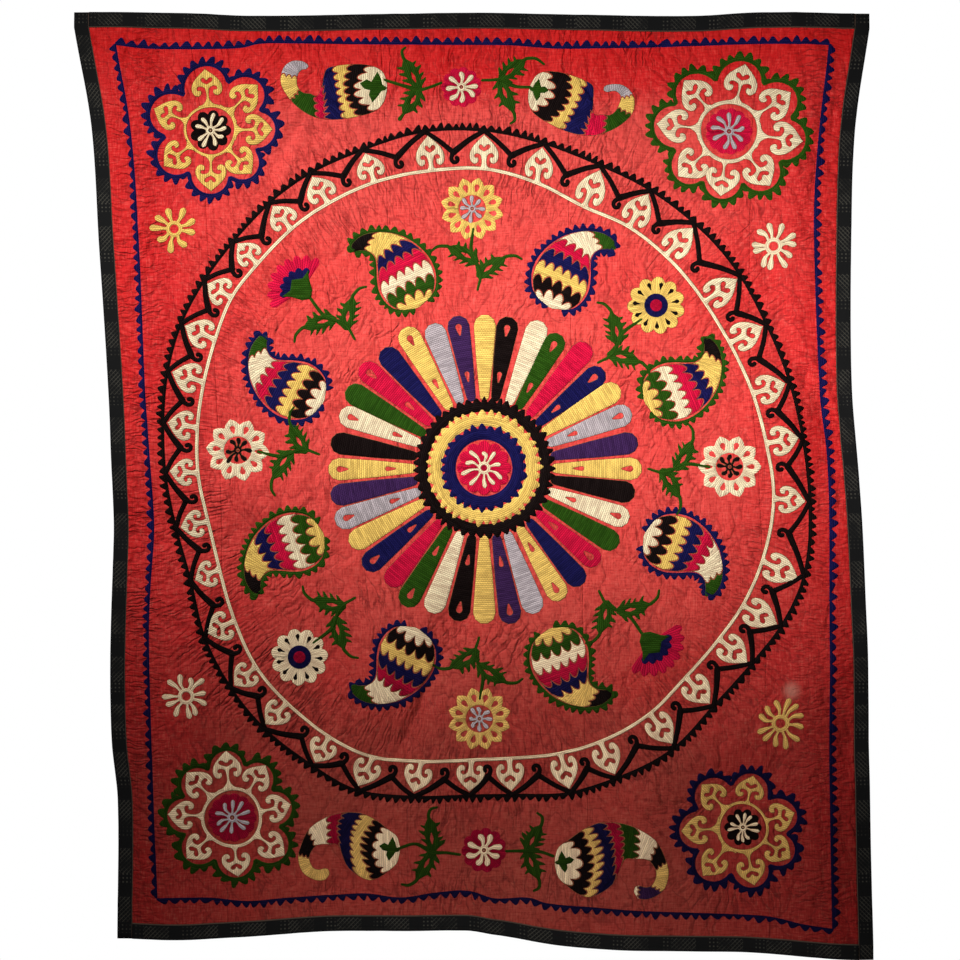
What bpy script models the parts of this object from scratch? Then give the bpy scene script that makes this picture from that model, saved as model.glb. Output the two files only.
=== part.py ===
"""Hung suzani: five lengths of red cotton sewn side by side, bound in black on four sides.

Metres, +Z up. The face looks along -Y. The origin is on the top edge, near its middle,
where the hanging is held. Every piece is a thin sheet that follows one hung surface.
"""

import math
from collections import namedtuple

import bmesh
import bpy

# Driving dimensions
SHEET = 0.002
GAP = 0.0003
BINDING_WIDTH = 0.033
ROWS = 45
COLUMN_PITCH = 0.043

# Where the ground's seams lie, as a share of its width from the left
SEAMS = (0.0, 0.13, 0.38, 0.63, 0.88, 1.0)

# The ground's four edges. A side's rows give the drop below the origin and the place
# across; the top's and bottom's give the share of the width and the drop.
SideRow = namedtuple("SideRow", "drop across")
LEFT_EDGE = (
    SideRow(0.03, -0.860),
    SideRow(0.25, -0.821),
    SideRow(0.52, -0.803),
    SideRow(0.83, -0.783),
    SideRow(1.12, -0.772),
    SideRow(1.42, -0.779),
    SideRow(1.60, -0.776),
    SideRow(1.73, -0.763),
    SideRow(2.03, -0.761),
)
RIGHT_EDGE = (
    SideRow(0.03, 0.824),
    SideRow(0.25, 0.792),
    SideRow(0.48, 0.783),
    SideRow(0.81, 0.783),
    SideRow(1.03, 0.801),
    SideRow(1.20, 0.810),
    SideRow(1.51, 0.820),
    SideRow(2.06, 0.829),
)

EndRow = namedtuple("EndRow", "share drop")
TOP_EDGE = (
    EndRow(0.00, 0.032),
    EndRow(0.13, 0.034),
    EndRow(0.21, 0.040),
    EndRow(0.38, 0.036),
    EndRow(0.51, 0.033),
    EndRow(0.65, 0.038),
    EndRow(0.79, 0.040),
    EndRow(0.88, 0.032),
    EndRow(1.00, 0.035),
)
BOTTOM_EDGE = (
    EndRow(0.00, 1.998),
    EndRow(0.10, 2.002),
    EndRow(0.30, 1.986),
    EndRow(0.46, 1.985),
    EndRow(0.50, 1.996),
    EndRow(0.60, 2.020),
    EndRow(0.73, 2.029),
    EndRow(0.88, 2.036),
    EndRow(1.00, 2.045),
)

# Main folds: soft ridges that stand towards the viewer, and troughs where rise is
# negative. Each runs from one place on the cloth to another and dies out at its ends.
Fold = namedtuple("Fold", "across_a drop_a across_b drop_b width rise")
FOLDS = (
    # From the nailed corners
    Fold(-0.86, 0.02, -0.46, 0.62, 0.075, 0.010),
    Fold(-0.80, 0.04, -0.72, 0.80, 0.060, 0.009),
    Fold(0.83, 0.02, 0.46, 0.60, 0.080, 0.010),
    Fold(0.72, 0.05, 0.67, 0.90, 0.060, 0.012),
    Fold(0.66, 0.70, 0.79, 0.98, 0.060, -0.012),
    # Where the top edge sags between its fixings
    Fold(-0.48, 0.05, -0.40, 0.44, 0.060, 0.007),
    Fold(0.24, 0.05, 0.30, 0.55, 0.080, 0.008),
    Fold(-0.04, 0.05, -0.02, 0.60, 0.070, -0.006),
    # The sides, drawn in at half height
    Fold(-0.80, 0.98, -0.46, 1.06, 0.060, 0.008),
    Fold(-0.79, 1.13, -0.50, 1.18, 0.050, -0.007),
    Fold(0.81, 1.42, 0.52, 1.62, 0.065, 0.009),
    Fold(0.83, 1.62, 0.58, 1.72, 0.060, -0.007),
    # The pair of creases below the middle
    Fold(-0.06, 1.36, -0.22, 1.72, 0.050, -0.010),
    Fold(0.10, 1.42, 0.23, 1.74, 0.050, -0.008),
    Fold(-0.14, 1.30, -0.34, 1.66, 0.070, 0.008),
    Fold(0.19, 1.36, 0.33, 1.68, 0.070, 0.007),
    # Flutes that run down to the bottom edge
    Fold(-0.66, 1.40, -0.69, 2.10, 0.075, 0.012),
    Fold(-0.40, 1.62, -0.35, 2.10, 0.070, -0.010),
    Fold(-0.14, 1.70, -0.16, 2.10, 0.080, 0.012),
    Fold(0.10, 1.72, 0.06, 2.12, 0.070, -0.010),
    Fold(0.36, 1.66, 0.33, 2.12, 0.080, 0.012),
    Fold(0.55, 1.70, 0.58, 2.14, 0.070, -0.009),
    Fold(0.74, 1.40, 0.77, 2.16, 0.080, 0.012),
)

# The cloth stands a little off the wall at half height, and more at its lower corners
FULL_DROP = 2.05
BILLOW = 0.012
CORNER_CURL = 0.020
CURL_REACH = 0.175
LOWER_CORNERS = (SideRow(2.03, -0.79), SideRow(2.08, 0.86))

# Near the top edge the wall holds the cloth almost flat
HELD_DROP = 0.12
HELD_SHARE = 0.15

RED = (0.60, 0.045, 0.035, 1.0)
BLACK = (0.012, 0.011, 0.012, 1.0)


def clear_scene():
    for thing in list(bpy.data.objects):
        bpy.data.objects.remove(thing, do_unlink=True)


def read_table(rows, key):
    """The value at key, on a smooth curve through the rows' two columns."""
    key = min(max(key, rows[0][0]), rows[-1][0])
    at = next((i for i in range(1, len(rows) - 1) if key <= rows[i][0]), len(rows) - 1)
    (key_a, value_a), (key_b, value_b) = rows[at - 1], rows[at]
    before, after = rows[max(at - 2, 0)], rows[min(at + 1, len(rows) - 1)]
    slope_a = (value_b - before[1]) / (key_b - before[0])
    slope_b = (after[1] - value_a) / (after[0] - key_a)
    span = key_b - key_a
    t = (key - key_a) / span
    rise = t * t * (3 - 2 * t)
    leave, arrive = t * (1 - t) ** 2, t * t * (t - 1)
    return value_a + (value_b - value_a) * rise + span * (slope_a * leave + slope_b * arrive)


def fold_height(fold, across, drop):
    """How far one fold lifts the cloth at a place."""
    run_x, run_z = fold.across_b - fold.across_a, fold.drop_b - fold.drop_a
    length = math.hypot(run_x, run_z)
    off_x, off_z = across - fold.across_a, drop - fold.drop_a
    along = (off_x * run_x + off_z * run_z) / length
    aside = (off_x * run_z - off_z * run_x) / length
    past = max(-along, along - length, 0.0)
    return fold.rise * math.exp(-((aside / fold.width) ** 2) - (past / (2 * fold.width)) ** 2)


def cloth_depth(across, drop):
    """The hung surface: how far the cloth stands towards the viewer."""
    lift = BILLOW * math.sin(math.pi * min(max(drop / FULL_DROP, 0.0), 1.0))
    lift += sum(fold_height(fold, across, drop) for fold in FOLDS)
    for corner in LOWER_CORNERS:
        away = math.hypot(across - corner.across, drop - corner.drop) / CURL_REACH
        lift += CORNER_CURL * math.exp(-away * away)
    free = min(max(drop / HELD_DROP, 0.0), 1.0)
    return lift * (HELD_SHARE + (1 - HELD_SHARE) * free)


def ground_place(share, down):
    """A place on the ground, from shares of its width and height: across and drop."""
    top, bottom = read_table(TOP_EDGE, share), read_table(BOTTOM_EDGE, share)
    drop = top + (bottom - top) * down
    left, right = read_table(LEFT_EDGE, drop), read_table(RIGHT_EDGE, drop)
    return left + (right - left) * share, drop


def ground_columns(first, last):
    """The shares of the width at which one length of the ground has its columns."""
    width = (last - first) * (RIGHT_EDGE[0].across - LEFT_EDGE[0].across)
    count = max(2, round(width / COLUMN_PITCH))
    return [first + (last - first) * step / count for step in range(count + 1)]


def row_shares():
    return [row / ROWS for row in range(ROWS + 1)]


def make_material(name, colour, roughness):
    material = bpy.data.materials.new(name)
    material.use_nodes = True
    surface = material.node_tree.nodes["Principled BSDF"]
    surface.inputs["Base Color"].default_value = colour
    surface.inputs["Roughness"].default_value = roughness
    surface.inputs["Metallic"].default_value = 0.0
    return material


def hang_sheet(name, columns, rows, place, material):
    """One closed sheet: a grid laid on the hung surface by place(column, row), then thickened."""
    shape = bmesh.new()
    bmesh.ops.create_grid(shape, x_segments=len(columns) - 1, y_segments=len(rows) - 1, size=0.5)
    for vert in shape.verts:
        column = columns[round((vert.co.x + 0.5) * (len(columns) - 1))]
        row = rows[round((0.5 - vert.co.y) * (len(rows) - 1))]
        across, drop = place(column, row)
        vert.co = (across, SHEET / 2 - cloth_depth(across, drop), -drop)
    back = list(shape.faces)
    made = bmesh.ops.extrude_face_region(shape, geom=back, use_keep_orig=True)
    front = [item for item in made["geom"] if isinstance(item, bmesh.types.BMVert)]
    bmesh.ops.translate(shape, verts=front, vec=(0.0, -SHEET, 0.0))
    bmesh.ops.recalc_face_normals(shape, faces=shape.faces)
    bmesh.ops.triangulate(shape, faces=shape.faces)
    mesh = bpy.data.meshes.new(name)
    shape.to_mesh(mesh)
    shape.free()
    mesh.materials.append(material)
    thing = bpy.data.objects.new(name, mesh)
    bpy.context.scene.collection.objects.link(thing)


def build_ground(material):
    """The lengths of red cotton, edge to edge."""
    for number, (first, last) in enumerate(zip(SEAMS, SEAMS[1:]), start=1):
        columns = ground_columns(first, last)

        def place(share, down, first=first, last=last):
            across, drop = ground_place(share, down)
            if share == first and first > 0.0:
                across += GAP / 2
            if share == last and last < 1.0:
                across -= GAP / 2
            return across, drop

        hang_sheet(f"ground_length_{number}", columns, row_shares(), place, material)


def build_side_bindings(material):
    """The left and right bindings, which run the full height, corners included."""
    rows = [-1.0, *row_shares(), 2.0]
    for name, share, outward in (("binding_left", 0.0, -1), ("binding_right", 1.0, 1)):

        def place(width_share, down, share=share, outward=outward):
            across, drop = ground_place(share, min(max(down, 0.0), 1.0))
            if down < 0.0:
                drop -= BINDING_WIDTH
            if down > 1.0:
                drop += BINDING_WIDTH
            offset = GAP + width_share * (BINDING_WIDTH - GAP)
            return across + outward * offset, drop

        hang_sheet(name, [0.0, 1.0], rows, place, material)


def build_end_bindings(material):
    """The top and bottom bindings, which lie between the side ones."""
    columns = [0.0]
    for first, last in zip(SEAMS, SEAMS[1:]):
        columns += ground_columns(first, last)[1:]
    for name, down, outward in (("binding_top", 0.0, -1), ("binding_bottom", 1.0, 1)):

        def place(share, width_share, down=down, outward=outward):
            across, drop = ground_place(share, down)
            offset = GAP + width_share * (BINDING_WIDTH - GAP)
            return across, drop + outward * offset

        hang_sheet(name, columns, [0.0, 1.0], place, material)


def main():
    clear_scene()
    cotton = make_material("red cotton", RED, 0.75)
    build_ground(cotton)
    binding = make_material("black patterned cotton", BLACK, 0.85)
    build_side_bindings(binding)
    build_end_bindings(binding)


main()
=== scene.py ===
"""Dresses a hung suzani: red cotton lengths, a black binding and the needlework on them.

Metres, +Z up; the face looks along -Y. A motif is drawn flat, across the cloth and up it, as
patches in low relief, and is then laid on the same hung surface as the cloth.
"""

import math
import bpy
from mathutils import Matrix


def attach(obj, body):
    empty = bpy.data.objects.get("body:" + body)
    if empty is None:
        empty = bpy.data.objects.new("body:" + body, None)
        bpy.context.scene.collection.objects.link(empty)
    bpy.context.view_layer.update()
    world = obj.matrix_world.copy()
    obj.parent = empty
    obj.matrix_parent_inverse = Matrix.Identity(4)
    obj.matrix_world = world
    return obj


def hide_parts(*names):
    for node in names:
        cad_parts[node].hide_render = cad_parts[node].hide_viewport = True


bl_info = {
    "name": "Hung suzani",
    "version": (1, 0, 0),
    "blender": (4, 5, 0),
    "location": "3D View > Sidebar > Suzani",
    "description": "Builds a hung suzani: its cloth, binding, needlework and stage",
    "category": "Add Mesh",
}

from collections import namedtuple

import bmesh
import bpy
import numpy as np
from bpy.props import FloatProperty, FloatVectorProperty, PointerProperty

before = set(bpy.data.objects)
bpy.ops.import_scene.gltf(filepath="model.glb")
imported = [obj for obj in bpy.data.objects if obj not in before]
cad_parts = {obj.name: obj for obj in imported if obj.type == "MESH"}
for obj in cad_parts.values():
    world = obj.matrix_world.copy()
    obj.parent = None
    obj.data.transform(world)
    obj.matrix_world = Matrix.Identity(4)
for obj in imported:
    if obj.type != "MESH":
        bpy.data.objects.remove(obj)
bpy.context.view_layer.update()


def rows_of(kind, rows):
    """A table's rows, with the names of their columns."""
    return tuple(kind(*row) for row in rows)


# The cloth's cut and its hung outline, as the frame has them
SHEET = 0.002
BINDING_WIDTH = 0.033
SEAMS = (0.0, 0.13, 0.38, 0.63, 0.88, 1.0)

# The ground's mean hung size, and the bindings' flat lengths with the corners they cover
HUNG_WIDTH = 1.60
HUNG_LENGTH = 1.97
SIDE_BINDING_LENGTH = 2.05
END_BINDING_LENGTH = 1.66

# How wide a turned edge's curve is, and how far the binding laps the ground
TURNED_EDGE = 0.0018
LAP = 0.0008

SideRow = namedtuple("SideRow", "drop across")
LEFT_EDGE = rows_of(SideRow, (
    (0.03, -0.860), (0.25, -0.821), (0.52, -0.803), (0.83, -0.783), (1.12, -0.772), (1.42, -0.779),
    (1.60, -0.776), (1.73, -0.763), (2.03, -0.761),
))
RIGHT_EDGE = rows_of(SideRow, (
    (0.03, 0.824), (0.25, 0.792), (0.48, 0.783), (0.81, 0.783), (1.03, 0.801), (1.20, 0.810),
    (1.51, 0.820), (2.06, 0.829),
))
EndRow = namedtuple("EndRow", "share drop")
TOP_EDGE = rows_of(EndRow, (
    (0.00, 0.032), (0.13, 0.034), (0.21, 0.040), (0.38, 0.036), (0.51, 0.033), (0.65, 0.038),
    (0.79, 0.040), (0.88, 0.032), (1.00, 0.035),
))
BOTTOM_EDGE = rows_of(EndRow, (
    (0.00, 1.998), (0.10, 2.002), (0.30, 1.986), (0.46, 1.985), (0.50, 1.996), (0.60, 2.020),
    (0.73, 2.029), (0.88, 2.036), (1.00, 2.045),
))

# Main folds, as the frame has them
Fold = namedtuple("Fold", "across_a drop_a across_b drop_b width rise")
FOLDS = rows_of(Fold, (
    (-0.86, 0.02, -0.46, 0.62, 0.075, 0.010), (-0.80, 0.04, -0.72, 0.80, 0.060, 0.009),
    (0.83, 0.02, 0.46, 0.60, 0.080, 0.010), (0.72, 0.05, 0.67, 0.90, 0.060, 0.012),
    (0.66, 0.70, 0.79, 0.98, 0.060, -0.012), (-0.48, 0.05, -0.40, 0.44, 0.060, 0.007),
    (0.24, 0.05, 0.30, 0.55, 0.080, 0.008), (-0.04, 0.05, -0.02, 0.60, 0.070, -0.006),
    (-0.80, 0.98, -0.46, 1.06, 0.060, 0.008), (-0.79, 1.13, -0.50, 1.18, 0.050, -0.007),
    (0.81, 1.42, 0.52, 1.62, 0.065, 0.009), (0.83, 1.62, 0.58, 1.72, 0.060, -0.007),
    (-0.06, 1.36, -0.22, 1.72, 0.050, -0.010), (0.10, 1.42, 0.23, 1.74, 0.050, -0.008),
    (-0.14, 1.30, -0.34, 1.66, 0.070, 0.008), (0.19, 1.36, 0.33, 1.68, 0.070, 0.007),
    (-0.66, 1.40, -0.69, 2.10, 0.075, 0.012), (-0.40, 1.62, -0.35, 2.10, 0.070, -0.010),
    (-0.14, 1.70, -0.16, 2.10, 0.080, 0.012), (0.10, 1.72, 0.06, 2.12, 0.070, -0.010),
    (0.36, 1.66, 0.33, 2.12, 0.080, 0.012), (0.55, 1.70, 0.58, 2.14, 0.070, -0.009),
    (0.74, 1.40, 0.77, 2.16, 0.080, 0.012),
))
FULL_DROP = 2.05
BILLOW = 0.012
CORNER_CURL = 0.020
CURL_REACH = 0.175
LOWER_CORNERS = (SideRow(2.03, -0.79), SideRow(2.08, 0.86))
HELD_DROP = 0.12
HELD_SHARE = 0.15

# Sharper creases, which only the cloth's fine surface can hold
CREASES = rows_of(Fold, (
    (-0.092, 1.434, -0.183, 1.628, 0.012, -0.0045), (-0.115, 1.440, -0.205, 1.640, 0.014, 0.0035),
    (0.128, 1.487, 0.205, 1.654, 0.011, -0.0035), (0.150, 1.470, 0.232, 1.640, 0.014, 0.0028),
    (0.691, 0.075, 0.739, 0.147, 0.009, -0.0040), (0.712, 0.060, 0.765, 0.140, 0.012, 0.0035),
    (0.605, 0.477, 0.664, 0.689, 0.011, -0.0035), (0.640, 0.455, 0.700, 0.700, 0.014, 0.0032),
    (0.675, 0.334, 0.715, 0.455, 0.010, -0.0035), (0.684, 0.741, 0.781, 0.939, 0.014, -0.0050),
    (0.700, 0.700, 0.790, 0.900, 0.016, 0.0040), (-0.737, 0.502, -0.653, 0.581, 0.009, -0.0035),
    (-0.745, 0.470, -0.650, 0.555, 0.011, 0.0030), (-0.396, 0.235, -0.482, 0.411, 0.010, -0.0035),
    (-0.372, 0.240, -0.455, 0.415, 0.012, 0.0025), (-0.306, 1.892, -0.341, 1.940, 0.009, -0.0030),
    (0.601, 1.432, 0.728, 1.560, 0.012, 0.0030), (0.560, 1.450, 0.690, 1.600, 0.012, -0.0030),
    (-0.560, 1.560, -0.470, 1.700, 0.012, 0.0030), (-0.700, 1.330, -0.600, 1.380, 0.010, -0.0030),
    (0.420, 1.860, 0.455, 1.960, 0.011, -0.0030), (-0.060, 1.890, -0.040, 1.960, 0.011, -0.0028),
))

# The ring of hearts. For each heart: its angle in degrees, clockwise from the right, and how far
# from the ring's middle its foot stands on the pale line, and its tip under the toothed one.
RING_ACROSS, RING_DROP = 0.0088, 1.001
Heart = namedtuple("Heart", "angle foot peak")
HEARTS = rows_of(Heart, (
    (6, 0.639, 0.719), (18.5, 0.644, 0.741), (28, 0.643, 0.739), (36, 0.638, 0.729),
    (46, 0.638, 0.727), (56, 0.650, 0.743), (67, 0.652, 0.740), (75, 0.650, 0.740),
    (85, 0.641, 0.723), (92.5, 0.642, 0.721), (102, 0.658, 0.738), (111, 0.680, 0.762),
    (120, 0.681, 0.756), (130, 0.674, 0.750), (139, 0.664, 0.737), (148.5, 0.642, 0.718),
    (159, 0.622, 0.690), (169, 0.617, 0.690), (179, 0.627, 0.699), (188, 0.635, 0.711),
    (197, 0.643, 0.726), (205.5, 0.654, 0.737), (214, 0.668, 0.740), (222, 0.668, 0.741),
    (231, 0.673, 0.749), (239.5, 0.674, 0.752), (249, 0.672, 0.749), (260, 0.664, 0.752),
    (270, 0.658, 0.743), (280.5, 0.637, 0.726), (291, 0.614, 0.712), (301, 0.617, 0.712),
    (310.5, 0.613, 0.709), (323, 0.605, 0.704), (333, 0.605, 0.697), (344.5, 0.612, 0.697),
    (355, 0.621, 0.703),
))

# Needlework relief: how far patches stand from the cloth, and the width of their rims
RISE = 0.0009
SINK = 0.0004
RIM = 0.0013
FINE_RIM = 0.0010
LEVEL_STEP = 0.0006


def read_table(rows, key):
    """The second column at key, on a smooth curve through the rows."""
    keys, values = np.array(rows, float)[:, 0], np.array(rows, float)[:, 1]
    last = len(keys) - 1
    low, high = np.maximum(np.arange(last + 1) - 1, 0), np.minimum(np.arange(last + 1) + 1, last)
    slopes = (values[high] - values[low]) / (keys[high] - keys[low])
    key = np.clip(key, keys[0], keys[-1])
    b = np.clip(np.searchsorted(keys, key), 1, last)
    a = b - 1
    span = keys[b] - keys[a]
    t = (key - keys[a]) / span
    leave, arrive = t * (1 - t) ** 2, t * t * (t - 1)
    rise = t * t * (3 - 2 * t)
    return values[a] + (values[b] - values[a]) * rise + span * (slopes[a] * leave + slopes[b] * arrive)


def fold_height(fold, across, drop):
    """How far one fold or crease lifts the cloth at a place."""
    run_x, run_z = fold.across_b - fold.across_a, fold.drop_b - fold.drop_a
    length = math.hypot(run_x, run_z)
    off_x, off_z = across - fold.across_a, drop - fold.drop_a
    along = (off_x * run_x + off_z * run_z) / length
    aside = (off_x * run_z - off_z * run_x) / length
    past = np.maximum(np.maximum(-along, along - length), 0.0)
    return fold.rise * np.exp(-((aside / fold.width) ** 2) - (past / (2 * fold.width)) ** 2)


def lattice_noise(across, along, seed, wrap=0):
    """Smooth noise from -1 to 1 over two numbers. With wrap, it repeats after that many cells."""
    cell_a, cell_b = np.floor(across), np.floor(along)
    part_a, part_b = across - cell_a, along - cell_b
    ease_a = part_a * part_a * (3 - 2 * part_a)
    ease_b = part_b * part_b * (3 - 2 * part_b)

    def corner(step_a, step_b):
        a = cell_a + step_a
        a = np.mod(a, wrap) if wrap else a
        scramble = np.sin(a * 127.1 + (cell_b + step_b) * 311.7 + seed * 74.7) * 43758.5453
        return 2 * (scramble - np.floor(scramble)) - 1

    low = corner(0, 0) * (1 - ease_a) + corner(1, 0) * ease_a
    high = corner(0, 1) * (1 - ease_a) + corner(1, 1) * ease_a
    return low * (1 - ease_b) + high * ease_b


def ring_radius(part, degrees):
    """How far from the ring's middle its pale line (foot) or toothed line (peak) runs."""
    laps = [(row.angle + 360 * lap, getattr(row, part)) for lap in (-1, 0, 1) for row in HEARTS]
    return read_table(laps, np.mod(degrees, 360))


def puckers(across, drop):
    """Small gathers, which run square to each line of needlework, and crumples between them."""
    off_x, off_z = across - RING_ACROSS, drop - RING_DROP
    angle = np.arctan2(off_z, off_x)
    out = np.hypot(off_x, off_z) - ring_radius("foot", np.degrees(angle)) - 0.03
    turn = (angle + math.pi) / math.tau
    near_ring = np.exp(-((out / 0.10) ** 2))
    lift = 0.0011 * near_ring * lattice_noise(turn * 190, out / 0.075, 3, wrap=190)
    lift += 0.0007 * near_ring * lattice_noise(turn * 310, out / 0.05, 4, wrap=310)
    for edge, seed in ((-0.745, 5), (0.757, 6)):
        near = np.exp(-(((across - edge) / 0.075) ** 2))
        lift += 0.0010 * near * lattice_noise(drop / 0.021, across / 0.055, seed)
    for edge, seed in ((0.07, 7), (1.955, 8)):
        near = np.exp(-(((drop - edge) / 0.085) ** 2))
        lift += 0.0010 * near * lattice_noise(across / 0.024, drop / 0.07, seed)
    patchy = 0.6 + 0.4 * lattice_noise(across / 0.21, drop / 0.26, 9)
    crumple = 0.0013 * lattice_noise((across + 0.12 * drop) / 0.040, drop / 0.15, 10)
    crumple += 0.0007 * lattice_noise((across - 0.2 * drop) / 0.023, drop / 0.075, 11)
    crumple += 0.0008 * lattice_noise(across / 0.11, drop / 0.042, 12)
    return lift * (0.7 + 0.5 * patchy) + crumple * patchy


def cloth_lift(across, drop):
    """The hung surface: how far the cloth stands towards the viewer."""
    lift = BILLOW * np.sin(math.pi * np.clip(drop / FULL_DROP, 0.0, 1.0))
    for fold in FOLDS:
        lift = lift + fold_height(fold, across, drop)
    for corner in LOWER_CORNERS:
        away = np.hypot(across - corner.across, drop - corner.drop) / CURL_REACH
        lift = lift + CORNER_CURL * np.exp(-away * away)
    lift = lift * (HELD_SHARE + (1 - HELD_SHARE) * np.clip(drop / HELD_DROP, 0.0, 1.0))
    for crease in CREASES:
        lift = lift + fold_height(crease, across, drop)
    size = bpy.context.scene.suzani_cloth.pucker
    return lift + size * puckers(across, drop)


def ground_place(share, down):
    """A place on the ground, from shares of its width and height: across and drop."""
    top, bottom = read_table(TOP_EDGE, share), read_table(BOTTOM_EDGE, share)
    drop = top + (bottom - top) * down
    left, right = read_table(LEFT_EDGE, drop), read_table(RIGHT_EDGE, drop)
    return left + (right - left) * share, drop


def mesh_of(name, shape, materials=()):
    """Turns a bmesh into a mesh, and frees it."""
    mesh = bpy.data.meshes.new(name)
    shape.to_mesh(mesh)
    shape.free()
    for material in materials:
        mesh.materials.append(material)
    return mesh


def add_object(name, data):
    made = bpy.data.objects.new(name, data)
    bpy.context.scene.collection.objects.link(made)
    return made


def read_places(mesh):
    """The places of a mesh's vertices, a row for each."""
    flat = np.empty(len(mesh.vertices) * 3)
    mesh.vertices.foreach_get("co", flat)
    return flat.reshape(-1, 3)


def move_vertices(mesh, *columns):
    """Puts a mesh's vertices at places given as columns across, to the back and up."""
    mesh.vertices.foreach_set("co", np.column_stack(columns).ravel())
    mesh.update()


def finish_piece(name, shape, materials):
    """Makes an object of a bmesh, and says what it rides on and takes its finish from."""
    mesh = mesh_of(name, shape, materials)
    mesh.shade_smooth()
    piece = add_object(name, mesh)
    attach(piece, "root")
    return piece


def hang_cloth(name, columns, rows, place, material):
    """A thin sheet: a grid of columns and rows, laid on the hung surface by place(column, row)."""
    settings = bpy.context.scene.suzani_cloth
    columns, rows = np.array(columns), np.array(rows)
    shape = bmesh.new()
    shape.loops.layers.uv.new("cloth")
    bmesh.ops.create_grid(
        shape, x_segments=len(columns) - 1, y_segments=len(rows) - 1, size=0.5, calc_uvs=True
    )
    piece = finish_piece(name, shape, [material])
    flat = read_places(piece.data)
    column = columns[np.rint((flat[:, 0] + 0.5) * (len(columns) - 1)).astype(int)]
    row = rows[np.rint((0.5 - flat[:, 1]) * (len(rows) - 1)).astype(int)]
    across, drop, tuck = place(column, row)
    front = -SHEET / 2 - cloth_lift(across, drop) + tuck
    move_vertices(piece.data, across, front, -drop)
    thicken = piece.modifiers.new("thickness", "SOLIDIFY")
    thicken.thickness = settings.thickness
    thicken.offset = -1.0
    return piece


def edge_steps(first, last, width, pitch):
    """Places from first to last, evenly, with two close together at each end for a turned edge."""
    count = max(2, round(width / pitch))
    even = [first + (last - first) * step / count for step in range(1, count)]
    turned = (last - first) * TURNED_EDGE / width
    return [first, first + turned, *even, last - turned, last]


def turned_edge(distance, depth):
    """How far the cloth dips where its edge is turned under."""
    return depth * np.clip(1 - distance / TURNED_EDGE, 0.0, 1.0)


def flow(points, steps=3):
    """A smooth open line through the points."""
    p = np.array(points, float)
    p = np.vstack([2 * p[0] - p[1], p, 2 * p[-1] - p[-2]])
    line = []
    for a, b, c, d in zip(p, p[1:], p[2:], p[3:]):
        for step in range(steps):
            t = step / steps
            bend = 2 * a - 5 * b + 4 * c - d
            line.append(0.5 * (2 * b + (c - a) * t + bend * t * t + (3 * b - a - 3 * c + d) * t**3))
    line.append(p[-2])
    return np.array(line)


def lengths_along(line):
    """The distance along a line at each of its points."""
    steps = np.hypot(*np.diff(line, axis=0).T)
    return np.concatenate([[0.0], np.cumsum(steps)])


def sideways(line, closed=False):
    """The unit direction to the left of a line, at each of its points."""
    if closed:
        ring = line[:-1]
        run = np.roll(ring, -1, axis=0) - np.roll(ring, 1, axis=0)
        run = np.vstack([run, run[:1]])
    else:
        run = np.gradient(line, axis=0)
    run /= np.maximum(np.hypot(run[:, 0], run[:, 1]), 1e-9)[:, None]
    return np.column_stack([-run[:, 1], run[:, 0]])


def on_line(line, at):
    """The points of a line at distances along it. Past its ends it goes straight on."""
    along = lengths_along(line)
    points = np.column_stack([np.interp(at, along, line[:, k]) for k in (0, 1)])
    start = (line[1] - line[0]) / along[1]
    end = (line[-1] - line[-2]) / (along[-1] - along[-2])
    points += np.minimum(at, 0.0)[:, None] * start
    points += np.maximum(at - along[-1], 0.0)[:, None] * end
    return points


def closed_line(points):
    """A line that ends where it starts."""
    return np.vstack([points, points[:1]])


def stroke(points, widths):
    """The outline of a stroke through the points, with widths at even shares and round ends."""
    line = flow(points, 3)
    share = lengths_along(line) / lengths_along(line)[-1]
    half = np.interp(share, np.linspace(0, 1, len(widths)), widths) / 2
    side = sideways(line)
    left, right = line + side * half[:, None], line - side * half[:, None]
    cap_steps = 5

    def end(centre, start, radius):
        first = math.atan2(start[1], start[0])
        angles = first - math.pi * np.arange(1, cap_steps) / cap_steps
        return centre + radius * np.column_stack([np.cos(angles), np.sin(angles)])

    return [*left, *end(line[-1], side[-1], half[-1]), *right[::-1], *end(line[0], -side[0], half[0])]


def circle(radius, count):
    return polar_loop(lambda _: radius, count)


def polar_loop(radius, count, turn=0.0):
    """A closed loop round the origin: radius(angle) at count even angles."""
    angles = turn + np.arange(count) * math.tau / count
    return [(radius(a) * math.cos(a), radius(a) * math.sin(a)) for a in angles]


def loop_area(loop):
    """The area inside a closed loop, negative where it runs clockwise."""
    after = np.roll(loop, -1, axis=0)
    return 0.5 * float((loop[:, 0] * after[:, 1] - after[:, 0] * loop[:, 1]).sum())


def around_holes(outline, holes):
    """One loop that runs round an outline and, along a slit, round each hole in it."""
    loop = np.array(outline, float)
    free = np.ones(len(loop), bool)
    for hole in holes:
        hole = np.array(hole, float)
        if loop_area(hole) * loop_area(loop) > 0:
            hole = hole[::-1]
        apart = np.hypot(loop[:, None, 0] - hole[None, :, 0], loop[:, None, 1] - hole[None, :, 1])
        apart[~free] = np.inf
        leave, enter = np.unravel_index(np.argmin(apart), apart.shape)
        loop = np.vstack([loop[: leave + 1], np.roll(hole, -enter, axis=0), hole[enter], loop[leave:]])
        spare = [True] * (len(hole) - 1)
        free = np.array([*free[:leave], False, False, *spare, False, False, *free[leave + 1 :]])
    return loop


# Two shapes of tooth, as shares of its width and of its height
THORN = ((0.0, 0.0), (0.10, 0.30), (0.27, 0.80), (0.43, 1.0), (0.57, 0.93), (0.74, 0.58), (0.90, 0.14))
BUMP = ((0.0, 0.0), (0.12, 0.26), (0.28, 0.74), (0.42, 1.0), (0.58, 1.0), (0.72, 0.74), (0.88, 0.26))


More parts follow.
